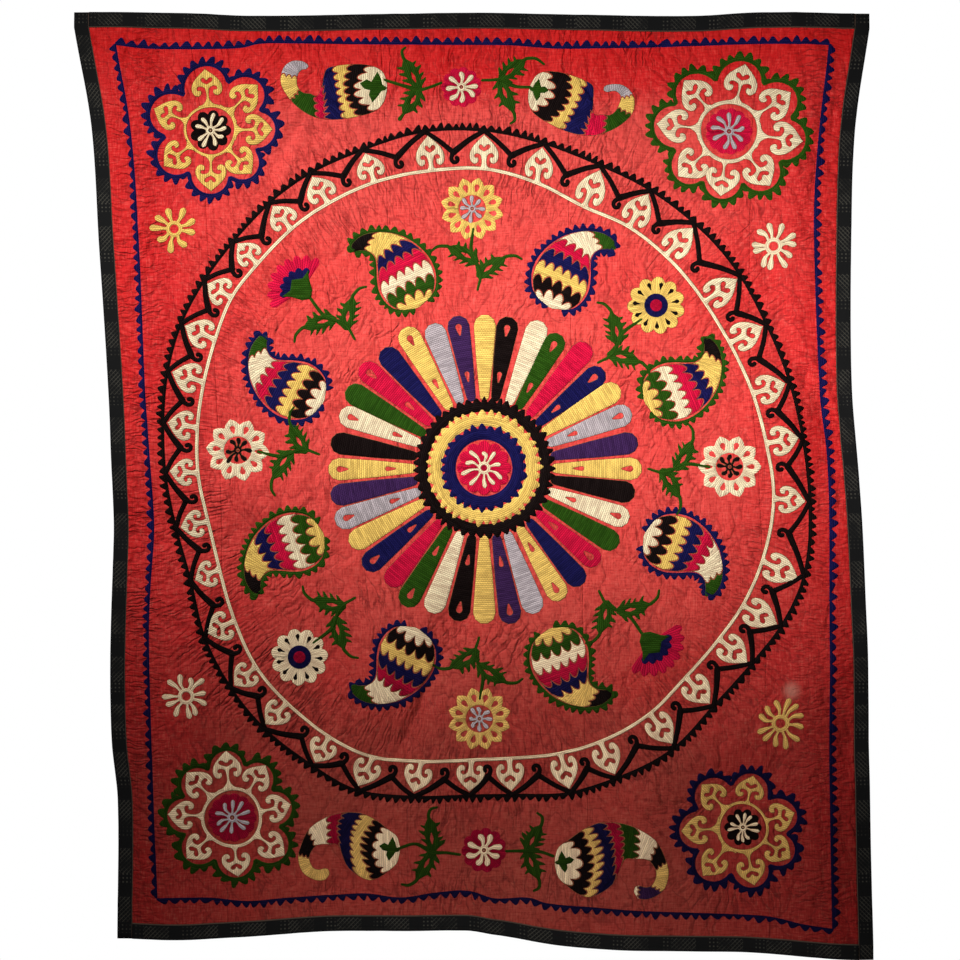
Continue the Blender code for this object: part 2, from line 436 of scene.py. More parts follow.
def toothed(line, pitch, height, rng, lean=0.0, tooth=THORN, valleys=()):
    """Places along a line for a row of teeth, and how far each stands out: less in a valley."""
    length = lengths_along(line)[-1]
    count = max(1, round(length / pitch))
    widths = 1 + 0.12 * rng.standard_normal(count)
    starts = np.concatenate([[0.0], np.cumsum(widths)]) / widths.sum() * length
    places, heights = [], []
    for start, end in zip(starts, starts[1:]):
        size = height * float(np.clip(1 + 0.16 * rng.standard_normal(), 0.7, 1.35))
        shift = 0.08 * float(rng.standard_normal())
        if len(valleys):
            away = np.abs(np.array(valleys) - (start + end) / 2).min()
            size *= float(np.clip(away * 72 - 0.4, 0.05, 1.0))
        for share, tip in tooth:
            places.append(start + (share + (lean + shift) * tip) * (end - start))
            heights.append(size * tip)
    return np.array([*places, length]), np.array([*heights, 0.0])


def along_line(line):
    """Thread that follows a line: a function from places to distance along it and to its side."""
    line = np.array(line, float)
    along = lengths_along(line)
    side = sideways(line)

    def grain(places):
        away = places[:, None, :] - line[None, :, :]
        nearest = np.argmin((away**2).sum(axis=2), axis=1)
        off = places - line[nearest]
        run = np.column_stack([side[nearest, 1], -side[nearest, 0]])
        return np.column_stack(
            [along[nearest] + (off * run).sum(axis=1), (off * side[nearest]).sum(axis=1)]
        )

    return grain


def straight(angle):
    """Thread laid straight, at an angle from across."""
    turn = np.array([[math.cos(angle), -math.sin(angle)], [math.sin(angle), math.cos(angle)]])
    return lambda places: places @ turn


def around(centre):
    """Thread laid outwards from a middle."""

    def grain(places):
        off = places - np.array(centre)
        radius = np.hypot(off[:, 0], off[:, 1])
        return np.column_stack([radius, np.arctan2(off[:, 1], off[:, 0]) * 0.05])

    return grain


class Spot:
    """Where a motif goes: its place on the cloth, its turn, its size and whether it is mirrored."""

    def __init__(self, across, up, turn=0.0, size=1.0, mirror=False):
        self.middle, self.turn, self.size = np.array([across, up]), turn, size
        self.mirror = -1.0 if mirror else 1.0

    def lay(self, points):
        """The places on the cloth of points drawn about this spot."""
        p = np.array(points, float) * self.size
        p[:, 0] *= self.mirror
        c, s = math.cos(self.turn), math.sin(self.turn)
        return p @ np.array([[c, s], [-s, c]]) + self.middle

    def on(self, across, up, turn=0.0, size=1.0):
        """A spot within this one."""
        across, up = self.lay([(across, up)])[0]
        return Spot(across, up, self.turn + self.mirror * turn, self.size * size, self.mirror < 0)


class Needlework:
    """Patches of several threads, gathered flat and then laid on the cloth, a piece for each thread."""

    def __init__(self, name):
        self.name, self.pieces = name, {}
        self.pitch = bpy.context.scene.suzani_stitch.pitch

    def patch(self, thread, outline, holes=(), grain=None, level=0.0, rim=RIM, edging=False):
        """A filled patch in low relief, with a rim that sinks into the cloth."""
        flat = bmesh.new()
        threads = flat.loops.layers.uv.new("thread")
        loop = around_holes(outline, holes)
        if loop_area(loop) < 0:
            loop = loop[::-1]
        verts = [flat.verts.new((x, y, 0.0)) for x, y in loop]
        edges = [flat.edges.new(pair) for pair in zip(verts, verts[1:] + verts[:1])]
        bmesh.ops.edgeloop_fill(flat, edges=edges)
        bmesh.ops.triangulate(flat, faces=flat.faces[:])
        bmesh.ops.remove_doubles(flat, verts=flat.verts, dist=0.00004)
        if sum(face.normal.z * face.calc_area() for face in flat.faces) < 0:
            bmesh.ops.reverse_faces(flat, faces=flat.faces)
        rims = bmesh.ops.inset_region(
            flat, faces=flat.faces[:], thickness=rim, use_boundary=True, use_even_offset=False
        )["faces"]
        # With the brown outline on, the rim is an outline thread with painted shade where the patch sinks
        # into the cloth
        for face in rims:
            face.material_index = 1 if edging else 0
        outer = {vert for edge in flat.edges if edge.is_boundary for vert in edge.verts}
        for vert in flat.verts:
            vert.co.z = (-SINK if vert in outer else RISE) + level * LEVEL_STEP
        for _ in range(5):
            long = [edge for edge in flat.edges if edge.calc_length() > self.pitch]
            if not long:
                break
            bmesh.ops.subdivide_edges(flat, edges=long, cuts=1)
            bmesh.ops.triangulate(flat, faces=[face for face in flat.faces if len(face.verts) > 3])
        grain = grain or straight(0.0)
        flat.verts.index_update()
        laid = grain(np.array([vert.co[:2] for vert in flat.verts]))
        for face in flat.faces:
            for loop in face.loops:
                loop[threads].uv = laid[loop.vert.index]
        self.gather(thread, flat)

    def disc(self, thread, spot, outline, holes=(), **like):
        """A patch round a spot, with its thread laid outwards from the middle."""
        self.patch(thread, spot.lay(outline), holes, around(spot.middle), **like)

    def gather(self, thread, flat):
        """Adds a flat patch to its thread's piece."""
        mesh = mesh_of("patch", flat)
        if thread not in self.pieces:
            self.pieces[thread] = bmesh.new()
            self.pieces[thread].loops.layers.uv.new("thread")
        self.pieces[thread].from_mesh(mesh)
        bpy.data.meshes.remove(mesh)

    def strip(self, thread, line, left, right, level=0.0, closed=False, edging=False):
        """A strip along a line, that far to the left and right of it at each of its points."""
        line = np.array(line, float)
        left, right = np.broadcast_to(left, len(line)), np.broadcast_to(right, len(line))
        rim = np.minimum(RIM, 0.3 * (left + right))
        aside = np.array([left, left - rim, (left - right) / 2, rim - right, -right])
        along, side = lengths_along(line), sideways(line, closed)
        flat = bmesh.new()
        threads = flat.loops.layers.uv.new("thread")
        bmesh.ops.create_grid(flat, x_segments=len(line) - 1, y_segments=4, size=0.5)
        spots = {}
        for vert in flat.verts:
            column = round((vert.co.x + 0.5) * (len(line) - 1))
            row = round((0.5 - vert.co.y) * 4)
            spots[vert] = (column, row)
            place = line[column] + side[column] * aside[row][column]
            height = -SINK if row in (0, 4) else RISE
            vert.co = (*place, height + level * LEVEL_STEP)
        for face in flat.faces:
            rows = {spots[vert][1] for vert in face.verts}
            # With the brown outline on, the strip's edges are an outline thread with painted shade
            face.material_index = 1 if edging and rows & {0, 4} else 0
            for loop in face.loops:
                column, row = spots[loop.vert]
                loop[threads].uv = (along[column], aside[row][column])
        bmesh.ops.remove_doubles(flat, verts=flat.verts, dist=0.00002)
        self.gather(thread, flat)

    def line(self, thread, points, widths, level=0.0, step=0.005, edging=False):
        """A line of stitches through the points, with widths at even shares and round ends."""
        line = flow(points, 8)
        length = lengths_along(line)[-1]
        first, last = widths[0] / 2, widths[-1] / 2
        cap = np.array([0.0, 0.05, 0.22, 0.55])
        even = np.linspace(0, length, max(3, round(length / step) + 1))
        at = np.concatenate([first * (cap - 1), even, length + last * (1 - cap[::-1])])
        half = np.interp(at, np.linspace(0, length, len(widths)), widths) / 2
        past = np.maximum(-at / first, (at - length) / last)
        half = half * np.sqrt(1 - np.clip(past, 0, 0.9999) ** 2)
        self.strip(thread, on_line(line, at), half, half, level, edging=edging)

    def saw(self, thread, line, half, pitch, height, rng, level=0.0, closed=False, **teeth_like):
        """A line with a row of teeth to its left."""
        at, teeth = toothed(line, pitch, height, rng, **teeth_like)
        self.strip(thread, on_line(line, at), half + teeth, half, level, closed)

    def lay(self):
        """Lays what was gathered on the cloth."""
        for thread, shape in self.pieces.items():
            # The second material is the brown outline, partly painted shade, for patch rims
            materials = [thread_material(thread), thread_material("edging")]
            piece = finish_piece(f"{self.name}_{thread}", shape, materials)
            across, up, relief = read_places(piece.data).T
            front = -SHEET / 2 - cloth_lift(across, -up) - relief
            move_vertices(piece.data, across, front, up)


class Value:
    """A number in a shader. Arithmetic on it adds Math nodes."""

    def __init__(self, shader, socket):
        self.shader, self.socket = shader, socket

    def math(self, operation, *others):
        return self.shader.node("Math", {"operation": operation}, self, *others)

    def __add__(self, other):
        return self.math("ADD", other)

    def __sub__(self, other):
        return self.math("SUBTRACT", other)

    def __rsub__(self, other):
        return self.shader.node("Math", {"operation": "SUBTRACT"}, other, self)

    def __mul__(self, other):
        return self.math("MULTIPLY", other)

    def __truediv__(self, other):
        return self.math("DIVIDE", other)

    def between(self, low, high):
        """From 0 at low to 1 at high, eased."""
        settings = {"interpolation_type": "SMOOTHSTEP"}
        return self.shader.node("MapRange", settings, self, low, high, 0.0, 1.0)

    __radd__, __rmul__ = __add__, __mul__


class Shader:
    """A material whose nodes are made by node() and by arithmetic on values."""

    def __init__(self, name, roughness, sheen=0.0):
        self.material = bpy.data.materials.new(name)
        self.material.use_nodes = True
        self.tree = self.material.node_tree
        self.surface = self.tree.nodes["Principled BSDF"]
        self.surface.inputs["Roughness"].default_value = roughness
        self.surface.inputs["Sheen Weight"].default_value = sheen
        self.surface.inputs["Specular IOR Level"].default_value = 0.15

    def node(self, kind, settings, *values, output=0):
        """A node of a kind, its settings made first, then the values or links of its sockets."""
        made = self.tree.nodes.new(f"ShaderNode{kind}")
        for key, setting in settings.items():
            setattr(made, key, setting)
        sockets = [socket for socket in made.inputs if socket.enabled]
        for socket, value in zip(sockets, values):
            self.feed(socket, value)
        outputs = [socket for socket in made.outputs if socket.enabled]
        return Value(self, outputs[output])

    def feed(self, socket, value):
        if isinstance(value, Value):
            self.tree.links.new(value.socket, socket)
        elif value is not None:
            socket.default_value = value

    def split(self, vector):
        """The three numbers of a vector."""
        made = self.node("SeparateXYZ", {}, vector)
        return [Value(self, socket) for socket in made.socket.node.outputs]

    def object_place(self):
        return self.split(self.node("TexCoord", {}, output=3))

    def uv_place(self, layer):
        return self.split(self.node("UVMap", {"uv_map": layer}))[:2]

    def spread(self, x, y, detail=2.0, seed=0.0):
        """Noise from 0 to 1 over two numbers."""
        place = self.node("CombineXYZ", {}, x, y, seed)
        return self.node("TexNoise", {"noise_dimensions": "3D"}, place, 1.0, detail)

    def mix(self, share, first, second):
        return self.node("Mix", {"data_type": "RGBA"}, share, first, second)

    def multiply(self, share, first, second):
        """The first colour darkened by the second, by a share."""
        settings = {"data_type": "RGBA", "blend_type": "MULTIPLY"}
        return self.node("Mix", settings, share, first, second)

    def set_colour(self, colour):
        self.feed(self.surface.inputs["Base Color"], colour)

    def set_relief(self, height, distance):
        bump = self.node("Bump", {}, 1.0, distance, 0.1, height)
        self.feed(self.surface.inputs["Normal"], bump)


def opaque(colour, factor=1.0):
    """A colour with its fourth number, made darker or lighter by a factor."""
    return (*(min(1.0, part * factor) for part in colour), 1.0)


def cotton_material():
    """Red cotton: slubs both ways, a painted sheen in its middle, darker towards its foot, with fine
    crinkles square to the needlework and painted shade in them.
    """
    settings = bpy.context.scene.suzani_cloth
    red = Shader("red cotton", 0.72, sheen=0.03)
    x, _, z = red.object_place()
    weft = red.spread(x * 42.0, z * 340.0, seed=1.0)
    warp = red.spread(x * 340.0, z * 42.0, seed=2.0)
    slub = (weft + warp) * 0.5
    across, down = x - RING_ACROSS, z + RING_DROP
    out = (across * across + down * down).math("SQRT")
    angle = down.math("ARCTAN2", across)
    sway = (red.spread(x * 7.0, z * 7.0, seed=11.0) - 0.5) * 0.045
    sway = sway + (red.spread(x * 48.0, z * 48.0, seed=17.0) - 0.5) * 0.011
    drift = (red.spread(x * 7.0, z * 7.0, seed=12.0) - 0.5) * 0.045
    drift = drift + (red.spread(x * 48.0, z * 48.0, seed=18.0) - 0.5) * 0.011
    u, w = x + sway, z + drift

    def crinkle(a, b, seed):
        """How far a place is from the nearest crinkle: they run along b, across a."""
        return (red.spread(a, b, detail=1.5, seed=seed) - 0.5).math("ABSOLUTE")

    def blend(share, first, second):
        return first + (second - first) * share

    # How near a place is to a corner rosette, the ring, the side borders and the end borders
    corner_x, corner_z = u.math("ABSOLUTE") - 0.565, (w + 1.02).math("ABSOLUTE") - 0.765
    corner = (corner_x * corner_x + corner_z * corner_z).math("SQRT")
    side_of = x.math("SIGN") * 3.0 + (z + 1.02).math("SIGN") * 5.0
    spoke = corner_z.math("ARCTAN2", corner_x) * 9.0
    spoke = red.spread(spoke, corner * 12.0 + side_of, detail=1.5, seed=4.0)
    near_corner = 1.0 - (corner - 0.18).math("ABSOLUTE").between(0.02, 0.08)
    near_ring = 1.0 - (out - 0.69).math("ABSOLUTE").between(0.06, 0.17)
    near_side = 1.0 - (x.math("ABSOLUTE") - 0.75).math("ABSOLUTE").between(0.03, 0.10)
    near_end = 1.0 - (down.math("ABSOLUTE") - 0.93).math("ABSOLUTE").between(0.04, 0.12)

    # Crinkles that run two ways in open cloth, and square to the needlework beside it
    fine = crinkle(u * 56.0 + w * 8.0, w * 15.0, 7.0)
    slanted = crinkle(u * 38.0 - w * 28.0, u * 12.0 + w * 15.0, 8.0)
    which = red.spread(x * 3.4, z * 3.4, seed=13.0).between(0.42, 0.58)
    fine = blend(which, fine, slanted)
    fine = blend(near_end, fine, crinkle(u * 62.0, w * 17.0, 9.0))
    fine = blend(near_corner, fine, (spoke - 0.5).math("ABSOLUTE"))
    fine = blend(near_ring, fine, crinkle((angle + sway) * 44.0, (out + drift) * 16.0, 5.0))
    fine = blend(near_side, fine, crinkle(w * 70.0, u * 20.0, 6.0))
    strength = red.spread(x * 9.0, z * 9.0, seed=14.0).between(0.42, 0.66)
    strength = blend(strength, (near_ring + near_side).math("MINIMUM", 1.0) * 0.40 + 0.16, 1.0)
    # Where a crinkle's painted shade goes, and the soft pillow relief between crinkles
    valley = (1.0 - fine.between(0.0, 0.034)) * strength
    pillow = fine.between(0.0, 0.13) * strength
    crumple = red.spread(u * 24.0, w * 16.0, detail=3.0, seed=15.0)
    flecks = red.spread(u * 130.0, w * 110.0, detail=2.5, seed=16.0)
    bend = crinkle(u * 15.0 + w * 5.0, w * 8.0 - u * 4.0, 19.0)

    # Painted sheen inside the ring and under the top border, where the light falls brightest; darker and
    # duller towards the foot
    blotch = red.spread(x * 5.0, z * 5.0, detail=4.0, seed=3.0)
    # Where the painted sheen goes: inside the ring, and in the upper middle below
    inside = 1.0 - out.between(0.40, 0.85)
    towards_foot = 1.0 - z.between(-1.75, -0.95)
    duller_foot = towards_foot * (1.0 - x.math("ABSOLUTE").between(0.35, 0.78)) * 0.9
    upper = z.between(-0.95, -0.32) * (1.0 - z.between(-0.24, -0.14)) * 1.20
    upper = upper * (1.0 - x.math("ABSOLUTE").between(0.36, 0.76))
    sheen_and_dulling = inside.math("MAXIMUM", duller_foot).math("MAXIMUM", upper)
    sheen_and_dulling = (sheen_and_dulling * 0.75 + blotch * 0.8 - 0.35).math("MAXIMUM", 0.0)
    # One pale worn patch beside the lower right daisy
    worn = ((x - 0.682) * (x - 0.682) + (z + 1.489) * (z + 1.489)).math("SQRT")
    worn = (1.0 - (worn + slub * 0.02).between(0.012, 0.038)) * 0.35
    # The painted sheen in the middle and the duller foot, both as one paler red
    colour = red.mix(sheen_and_dulling, opaque(settings.red), opaque(settings.sheen_and_dull_red))
    colour = red.mix(slub.between(0.50, 0.66) * 0.50, colour, opaque(settings.slub))
    colour = red.mix((1.0 - slub).between(0.50, 0.66) * 0.60, colour, opaque(settings.red, 0.45))
    colour = red.mix(flecks.between(0.55, 0.75) * 0.22, colour, opaque(settings.slub))
    colour = red.mix((1.0 - flecks).between(0.52, 0.75) * 0.34, colour, opaque(settings.red, 0.40))
    # Painted shade in the crinkles' valleys, and below it along the bends' creases
    colour = red.mix(valley * 0.62, colour, opaque(settings.red, 0.26))
    colour = red.mix((1.0 - bend.between(0.0, 0.016)) * 0.40, colour, opaque(settings.red, 0.30))
    colour = red.mix(worn, colour, (0.75, 0.42, 0.34, 1.0))
    # Darker and browner towards the foot
    foot_darkening = towards_foot * (0.72 + blotch * 0.5)
    colour = red.multiply(foot_darkening, colour, (0.44, 0.66, 0.52, 1.0))
    # Deeper red at the top and the sides, outside the painted sheen
    sheen_free_edges = z.between(-0.22, -0.05).math("MAXIMUM", x.math("ABSOLUTE").between(0.66, 0.80) * 0.4)
    colour = red.multiply(sheen_free_edges, colour, (1.0, 0.42, 0.40, 1.0))
    red.set_colour(colour)
    relief = pillow * 0.45 + bend.between(0.0, 0.12) * 0.45 + crumple * 1.1 + flecks * 0.12 + slub * 0.10
    red.set_relief(relief, 0.0063)
    return red.material


def binding_material():
    """Near-black cotton printed with pale hatching in blocks, with a paler folded edge."""
    settings = bpy.context.scene.suzani_cloth
    dark = Shader("black patterned cotton", 0.85)
    along, aside = dark.uv_place("cloth")

    def lines(value, pitch, width):
        return 1.0 - ((value / pitch).math("FRACT") - 0.5).math("ABSOLUTE").between(width, width + 0.12)

    hatch = lines(along + aside, 0.0096, 0.04)
    cross = lines(along - aside, 0.0096, 0.04) * 0.4
    block = (along / 0.105).math("FRACT")
    crossed = block.math("LESS_THAN", 0.52)
    spots = lines(along, 0.0085, 0.12) * lines(aside, 0.0085, 0.12)
    spotted = block.math("GREATER_THAN", 0.78)
    print_mask = hatch.math("MAXIMUM", cross) * crossed
    print_mask = print_mask.math("MAXIMUM", spots * spotted)
    inside = aside.between(0.003, 0.005) * (1.0 - aside.between(0.028, 0.030))
    thread = dark.spread(along * 500.0, aside * 500.0, seed=2.0)
    wear = dark.spread(along * 30.0, aside * 30.0, seed=3.0).between(0.3, 0.6)
    shown = print_mask * inside * (wear * 0.40 + 0.06)
    colour = dark.mix(shown, opaque(settings.black), opaque(settings.hatch))
    folded = 1.0 - aside.between(0.0008, 0.0020)
    colour = dark.mix(folded * 0.5, colour, opaque(settings.fold_line))
    dark.set_colour(colour)
    dark.set_relief(thread * 0.5 + print_mask * 0.2, 0.0006)
    return dark.material


# How much of each thread's colour the foot of the hanging keeps, under painted shade there
FOOT_SHADE_THREADS = {
    "cream": (0.98, 0.88, 0.86, 1.0),
    "yellow": (0.82, 0.74, 0.88, 1.0),
    "green": (0.60, 0.50, 0.40, 1.0),
    "magenta": (0.42, 0.40, 0.44, 1.0),
    "blue": (0.60, 0.42, 0.40, 1.0),
    "purple": (0.60, 0.50, 0.50, 1.0),
    "black": (0.60, 0.50, 0.50, 1.0),
}


def thread_material(thread):
    """Thread laid in rows and tied down with small stitches, in one colour, with painted shade between its
    rows, in its pinholes and, for most threads, towards the foot.
    """
    name = f"{thread} thread"
    if name in bpy.data.materials:
        return bpy.data.materials[name]
    stitch = bpy.context.scene.suzani_stitch
    base = getattr(bpy.context.scene.suzani_threads, thread)
    silk = Shader(name, 0.66)
    silk.surface.inputs["Specular IOR Level"].default_value = 0.05
    along, aside = silk.uv_place("thread")
    stray = silk.spread(along * 60.0, aside * 60.0, seed=1.0)
    row = (aside + stray * 0.0016) / stitch.row
    ridge = ((row.math("FRACT") - 0.5) * math.pi).math("COSINE")
    number = row.math("FLOOR")
    streak = silk.spread(along * 24.0, number * 3.7, seed=2.0)
    tie = ((along + stray * 0.0012) / stitch.tie + number * 0.5).math("FRACT")
    tie = 1.0 - (tie - 0.5).math("ABSOLUTE").between(0.08, 0.24)
    pinhole = tie * (1.0 - ridge.between(0.30, 0.85))
    twist = ((along * 900.0 + aside * 900.0).math("SINE") + 1.0) * 0.5
    patchy = silk.spread(along * 9.0, aside * 14.0, detail=3.0, seed=4.0)
    # A darker copy of the colour for painted shade, and a lighter one for random streaks
    dark, light = opaque(base, 0.30), opaque([part * 1.28 + 0.002 for part in base])
    colour = silk.mix(streak.between(0.32, 0.66), opaque(base, 0.80), light)
    colour = silk.mix(patchy.between(0.45, 0.70) * 0.20, colour, opaque(base, 0.70))
    # Painted shade between the rows, and in the pinholes by the ties
    colour = silk.mix((1.0 - ridge.between(0.0, 0.6)) * 0.34, colour, dark)
    colour = silk.mix(pinhole * 0.75, colour, dark)
    # Painted shade towards the foot of the hanging
    if thread in FOOT_SHADE_THREADS:
        low = 1.0 - silk.object_place()[2].between(-1.70, -1.0)
        colour = silk.multiply(low, colour, FOOT_SHADE_THREADS[thread])
    silk.set_colour(colour)
    silk.set_relief(ridge * 0.7 - tie * 0.35 - pinhole * 0.5 + twist * 0.10, 0.0008)
    return silk.material


# The right side of a heart, from its tip to its scroll, and of the cut-out in its middle: across
# and up, in millimetres
HEART_SIDE = (
    (0.0, 52.0), (5.0, 47.5), (11.0, 42.5), (17.0, 37.0), (22.5, 31.0), (27.0, 24.0), (29.5, 16.0),
    (29.0, 8.0), (26.0, 2.0), (20.8, -1.6), (15.2, -1.2), (11.4, 2.4), (10.6, 7.2), (13.0, 10.8),
    (16.4, 10.2), (18.8, 11.8), (18.0, 15.2), (13.6, 17.0),
)
HEART_MARK = (
    (0.4, 21.5), (3.4, 23.0), (6.2, 24.2), (10.6, 27.0), (11.6, 31.0), (8.6, 33.0), (4.8, 31.4),
    (2.2, 28.4), (0.0, 27.6),
)


def heart(work, spot, thread, rng, width, height, stem, neck):
    """A heart with two scrolls and a small cut-out, on a stem that spreads into the line below it."""
    wide, tall = width / 0.059, (height - stem) / 0.052
    lean = 0.0015 * rng.standard_normal()

    def fit(points):
        return [(x * 0.001 * wide + lean * (y / 52) ** 2, stem + y * 0.001 * tall) for x, y in points]

    scroll = [(neck + 0.0032, stem + 0.0142 * tall), (neck + 0.0008, stem + 0.0085 * tall)]
    scroll.append((neck, stem + 0.0025))
    foot = [(0.0, 0.72), (0.15, 0.40), (0.42, 0.15), (0.82, 0.03), (0.86, -0.10)]
    foot = [(neck * 1.1 + stem * out, stem * up) for out, up in foot]
    right = flow([*fit(HEART_SIDE), *scroll, *foot], 2)
    left = right[::-1] * (-1, 1)
    left[:, 0] += 2 * lean * np.maximum((left[:, 1] - stem) / height, 0.0) ** 2
    marks = flow(fit(HEART_MARK), 2)
    other = marks[::-1] * (-rng.uniform(0.7, 1.2), 1)
    work.patch(
        thread,
        spot.lay([*right, *left[:-1]]),
        [spot.lay([*marks, *other[1:-1]])],
        grain=straight(spot.turn + math.pi / 2),
        edging=True,
        level=0.3,
    )


def ring_spot(degrees, radius, turn=0.0):
    """A spot beside the ring, with its upward side outwards."""
    angle = math.radians(degrees)
    across = RING_ACROSS + radius * math.cos(angle)
    up = -(RING_DROP + radius * math.sin(angle))
    return Spot(across, up, -angle - math.pi / 2 + turn)


def ring_line(part):
    """The ring's pale line (foot) or toothed line (peak), a point for each degree."""
    degrees = np.arange(360)
    radius, angles = ring_radius(part, degrees), np.radians(degrees)
    across = RING_ACROSS + radius * np.cos(angles)
    return closed_line(np.column_stack([across, -(RING_DROP + radius * np.sin(angles))]))


def daisy(work, spot, thread, petals, radius, rng, level=0.0, slim=1.0, eye=0.14):
    """Club-shaped petals round a small ring."""
    width = slim * math.tau * radius / petals
    hub = (eye + 0.17) * radius
    for petal in range(petals):
        turn = math.tau * petal / petals + 0.09 * rng.standard_normal()
        reach = radius * (1 + 0.07 * rng.standard_normal())
        sway = 0.05 * radius * rng.standard_normal()
        club = [(0, 0.8 * hub), (sway, 0.58 * radius), (0, reach - width * 0.25)]
        widths = [width * 0.30, width * 0.26, width * 0.44, width * 0.50]
        work.line(thread, spot.on(0, 0, turn).lay(club), widths, level + 0.2 * (petal % 2), edging=True)
    inner = eye * radius
    half = (hub - inner) / 2
    ring = closed_line(spot.lay(circle(inner + half, 24)))
    work.strip(thread, ring, half, half, level + 0.5, closed=True)
    if inner < 0.005:
        work.patch(thread, spot.lay(circle(inner, 12)), rim=inner * 0.8, level=level, edging=True)


def scalloped(radius, lobes, depth):
    """A disc's outline with round lobes."""

    def reach(a):
        return radius * (1 - depth * (1 - abs(math.cos(lobes * a / 2)) ** 0.8))

    return polar_loop(reach, lobes * 8)


SCALLOP_WIDTH = 0.0165
# A rung of the ladder that a banded shape is drawn on: its outer and its inner end, in millimetres
Rung = namedtuple("Rung", "outer_x outer_y inner_x inner_y")


def ladder_place(rungs, at, share):
    """Places on a ladder: at counts rungs from its head, share runs from its outer rail to its inner."""
    columns = np.array(rungs, float).T * 0.001
    keys = np.arange(len(rungs))
    outer_x, outer_y, inner_x, inner_y = (read_table(np.column_stack([keys, c]), at) for c in columns)
    x = outer_x + (inner_x - outer_x) * share
    y = outer_y + (inner_y - outer_y) * share
    return np.column_stack([x, y])


def band_edge(rungs, at, teeth, amp, bulge):
    """A scalloped line across a ladder, which bulges towards its tail."""
    share = np.linspace(0, 1, teeth * 6 + 1)
    run = amp * np.abs(np.sin(math.pi * teeth * share)) ** 0.7 + bulge * (1 - (2 * share - 1) ** 2)
    near = np.full(share.shape, at)
    step = ladder_place(rungs, near + 0.05, share) - ladder_place(rungs, near - 0.05, share)
    gap = np.hypot(step[:, 0], step[:, 1]) / 0.1
    return ladder_place(rungs, near + run / np.maximum(gap, 0.002), share)


def banded(work, spot, rungs, bands):
    """A shape of scalloped bands. Each band is the rung where it ends, its thread and its bulge."""
    last = len(rungs) - 1
    spine = spot.lay(ladder_place(rungs, np.linspace(0, last, last * 3), 0.5))
    sew = along_line(spine)
    low, low_line = 0, ladder_place(rungs, np.zeros(3), np.linspace(0, 1, 3))
    for high, thread, bulge in bands:
        width = np.hypot(*(ladder_place(rungs, [high], 0)[0] - ladder_place(rungs, [high], 1)[0]))
        teeth = max(3, round(width / SCALLOP_WIDTH))
        if high < last:
            depth = min(0.0125, width * 0.15 + 0.002)
            high_line = band_edge(rungs, high, teeth, depth, bulge * 0.001)
        else:
            high_line = ladder_place(rungs, np.full(3, last), np.linspace(0, 1, 3))
        rail = np.linspace(low, high, round((high - low) * 4) + 1)[1:-1]
        inner = ladder_place(rungs, rail, 1.0)
        outer = ladder_place(rungs, rail[::-1], 0.0)
        loop = np.vstack([low_line, inner, high_line[::-1], outer])
        work.patch(thread, spot.lay(loop), grain=lambda places: sew(places)[:, ::-1], edging=True)
        low, low_line = high, high_line


UPPER_PEPPER = rows_of(Rung, (
    (0, 8, 0, -8), (8, 32, 6, -30), (26, 45, 19, -48), (54, 51, 38, -58), (83, 51, 64, -65),
    (112, 48, 90, -70), (135, 40, 112, -72), (144, 10, 128, -72), (154, -18, 148, -70),
    (169, -14, 172, -62), (184, -12, 200, -43), (194, -3, 222, -18), (198, 9, 235, 10),
    (196, 27, 229, 42), (188, 37, 210, 58), (178, 39, 187, 58), (173, 45, 174, 50),
))
LONG_TAIL = rows_of(Rung, (
    (200, 25, 229, 40), (196, 38, 212, 56), (183, 42, 190, 61), (168, 35, 164, 52), (159, 36, 157, 43),
))
LONG_TAILED_PEPPER = (*UPPER_PEPPER[:13], *LONG_TAIL)
LOWER_PEPPER = rows_of(Rung, (
    (0, 9, 0, -9), (8, 32, 8, -35), (28, 47, 28, -54), (54, 66, 56, -73), (72, 76, 86, -76),
    (100, 87, 130, -46), (142, 88, 152, 4), (182, 76, 173, 8), (223, 48, 203, 6),
    (245, 5, 219, -12), (251, -28, 222, -30), (240, -61, 214, -48), (212, -79, 201, -53),
    (187, -80, 188, -50), (176, -70, 178, -51), (173, -61, 175, -55),
))
BOTEH = rows_of(Rung, (
    (-4, 0, 4, 0), (-30, 9, 28, 9), (-45, 30, 40, 27), (-50, 54, 43, 50), (-47, 78, 38, 72),
    (-37, 102, 31, 90), (-20, 124, 28, 106), (4, 140, 34, 118), (30, 147, 44, 124),
    (52, 142, 50, 126), (60, 131, 54, 126),
))


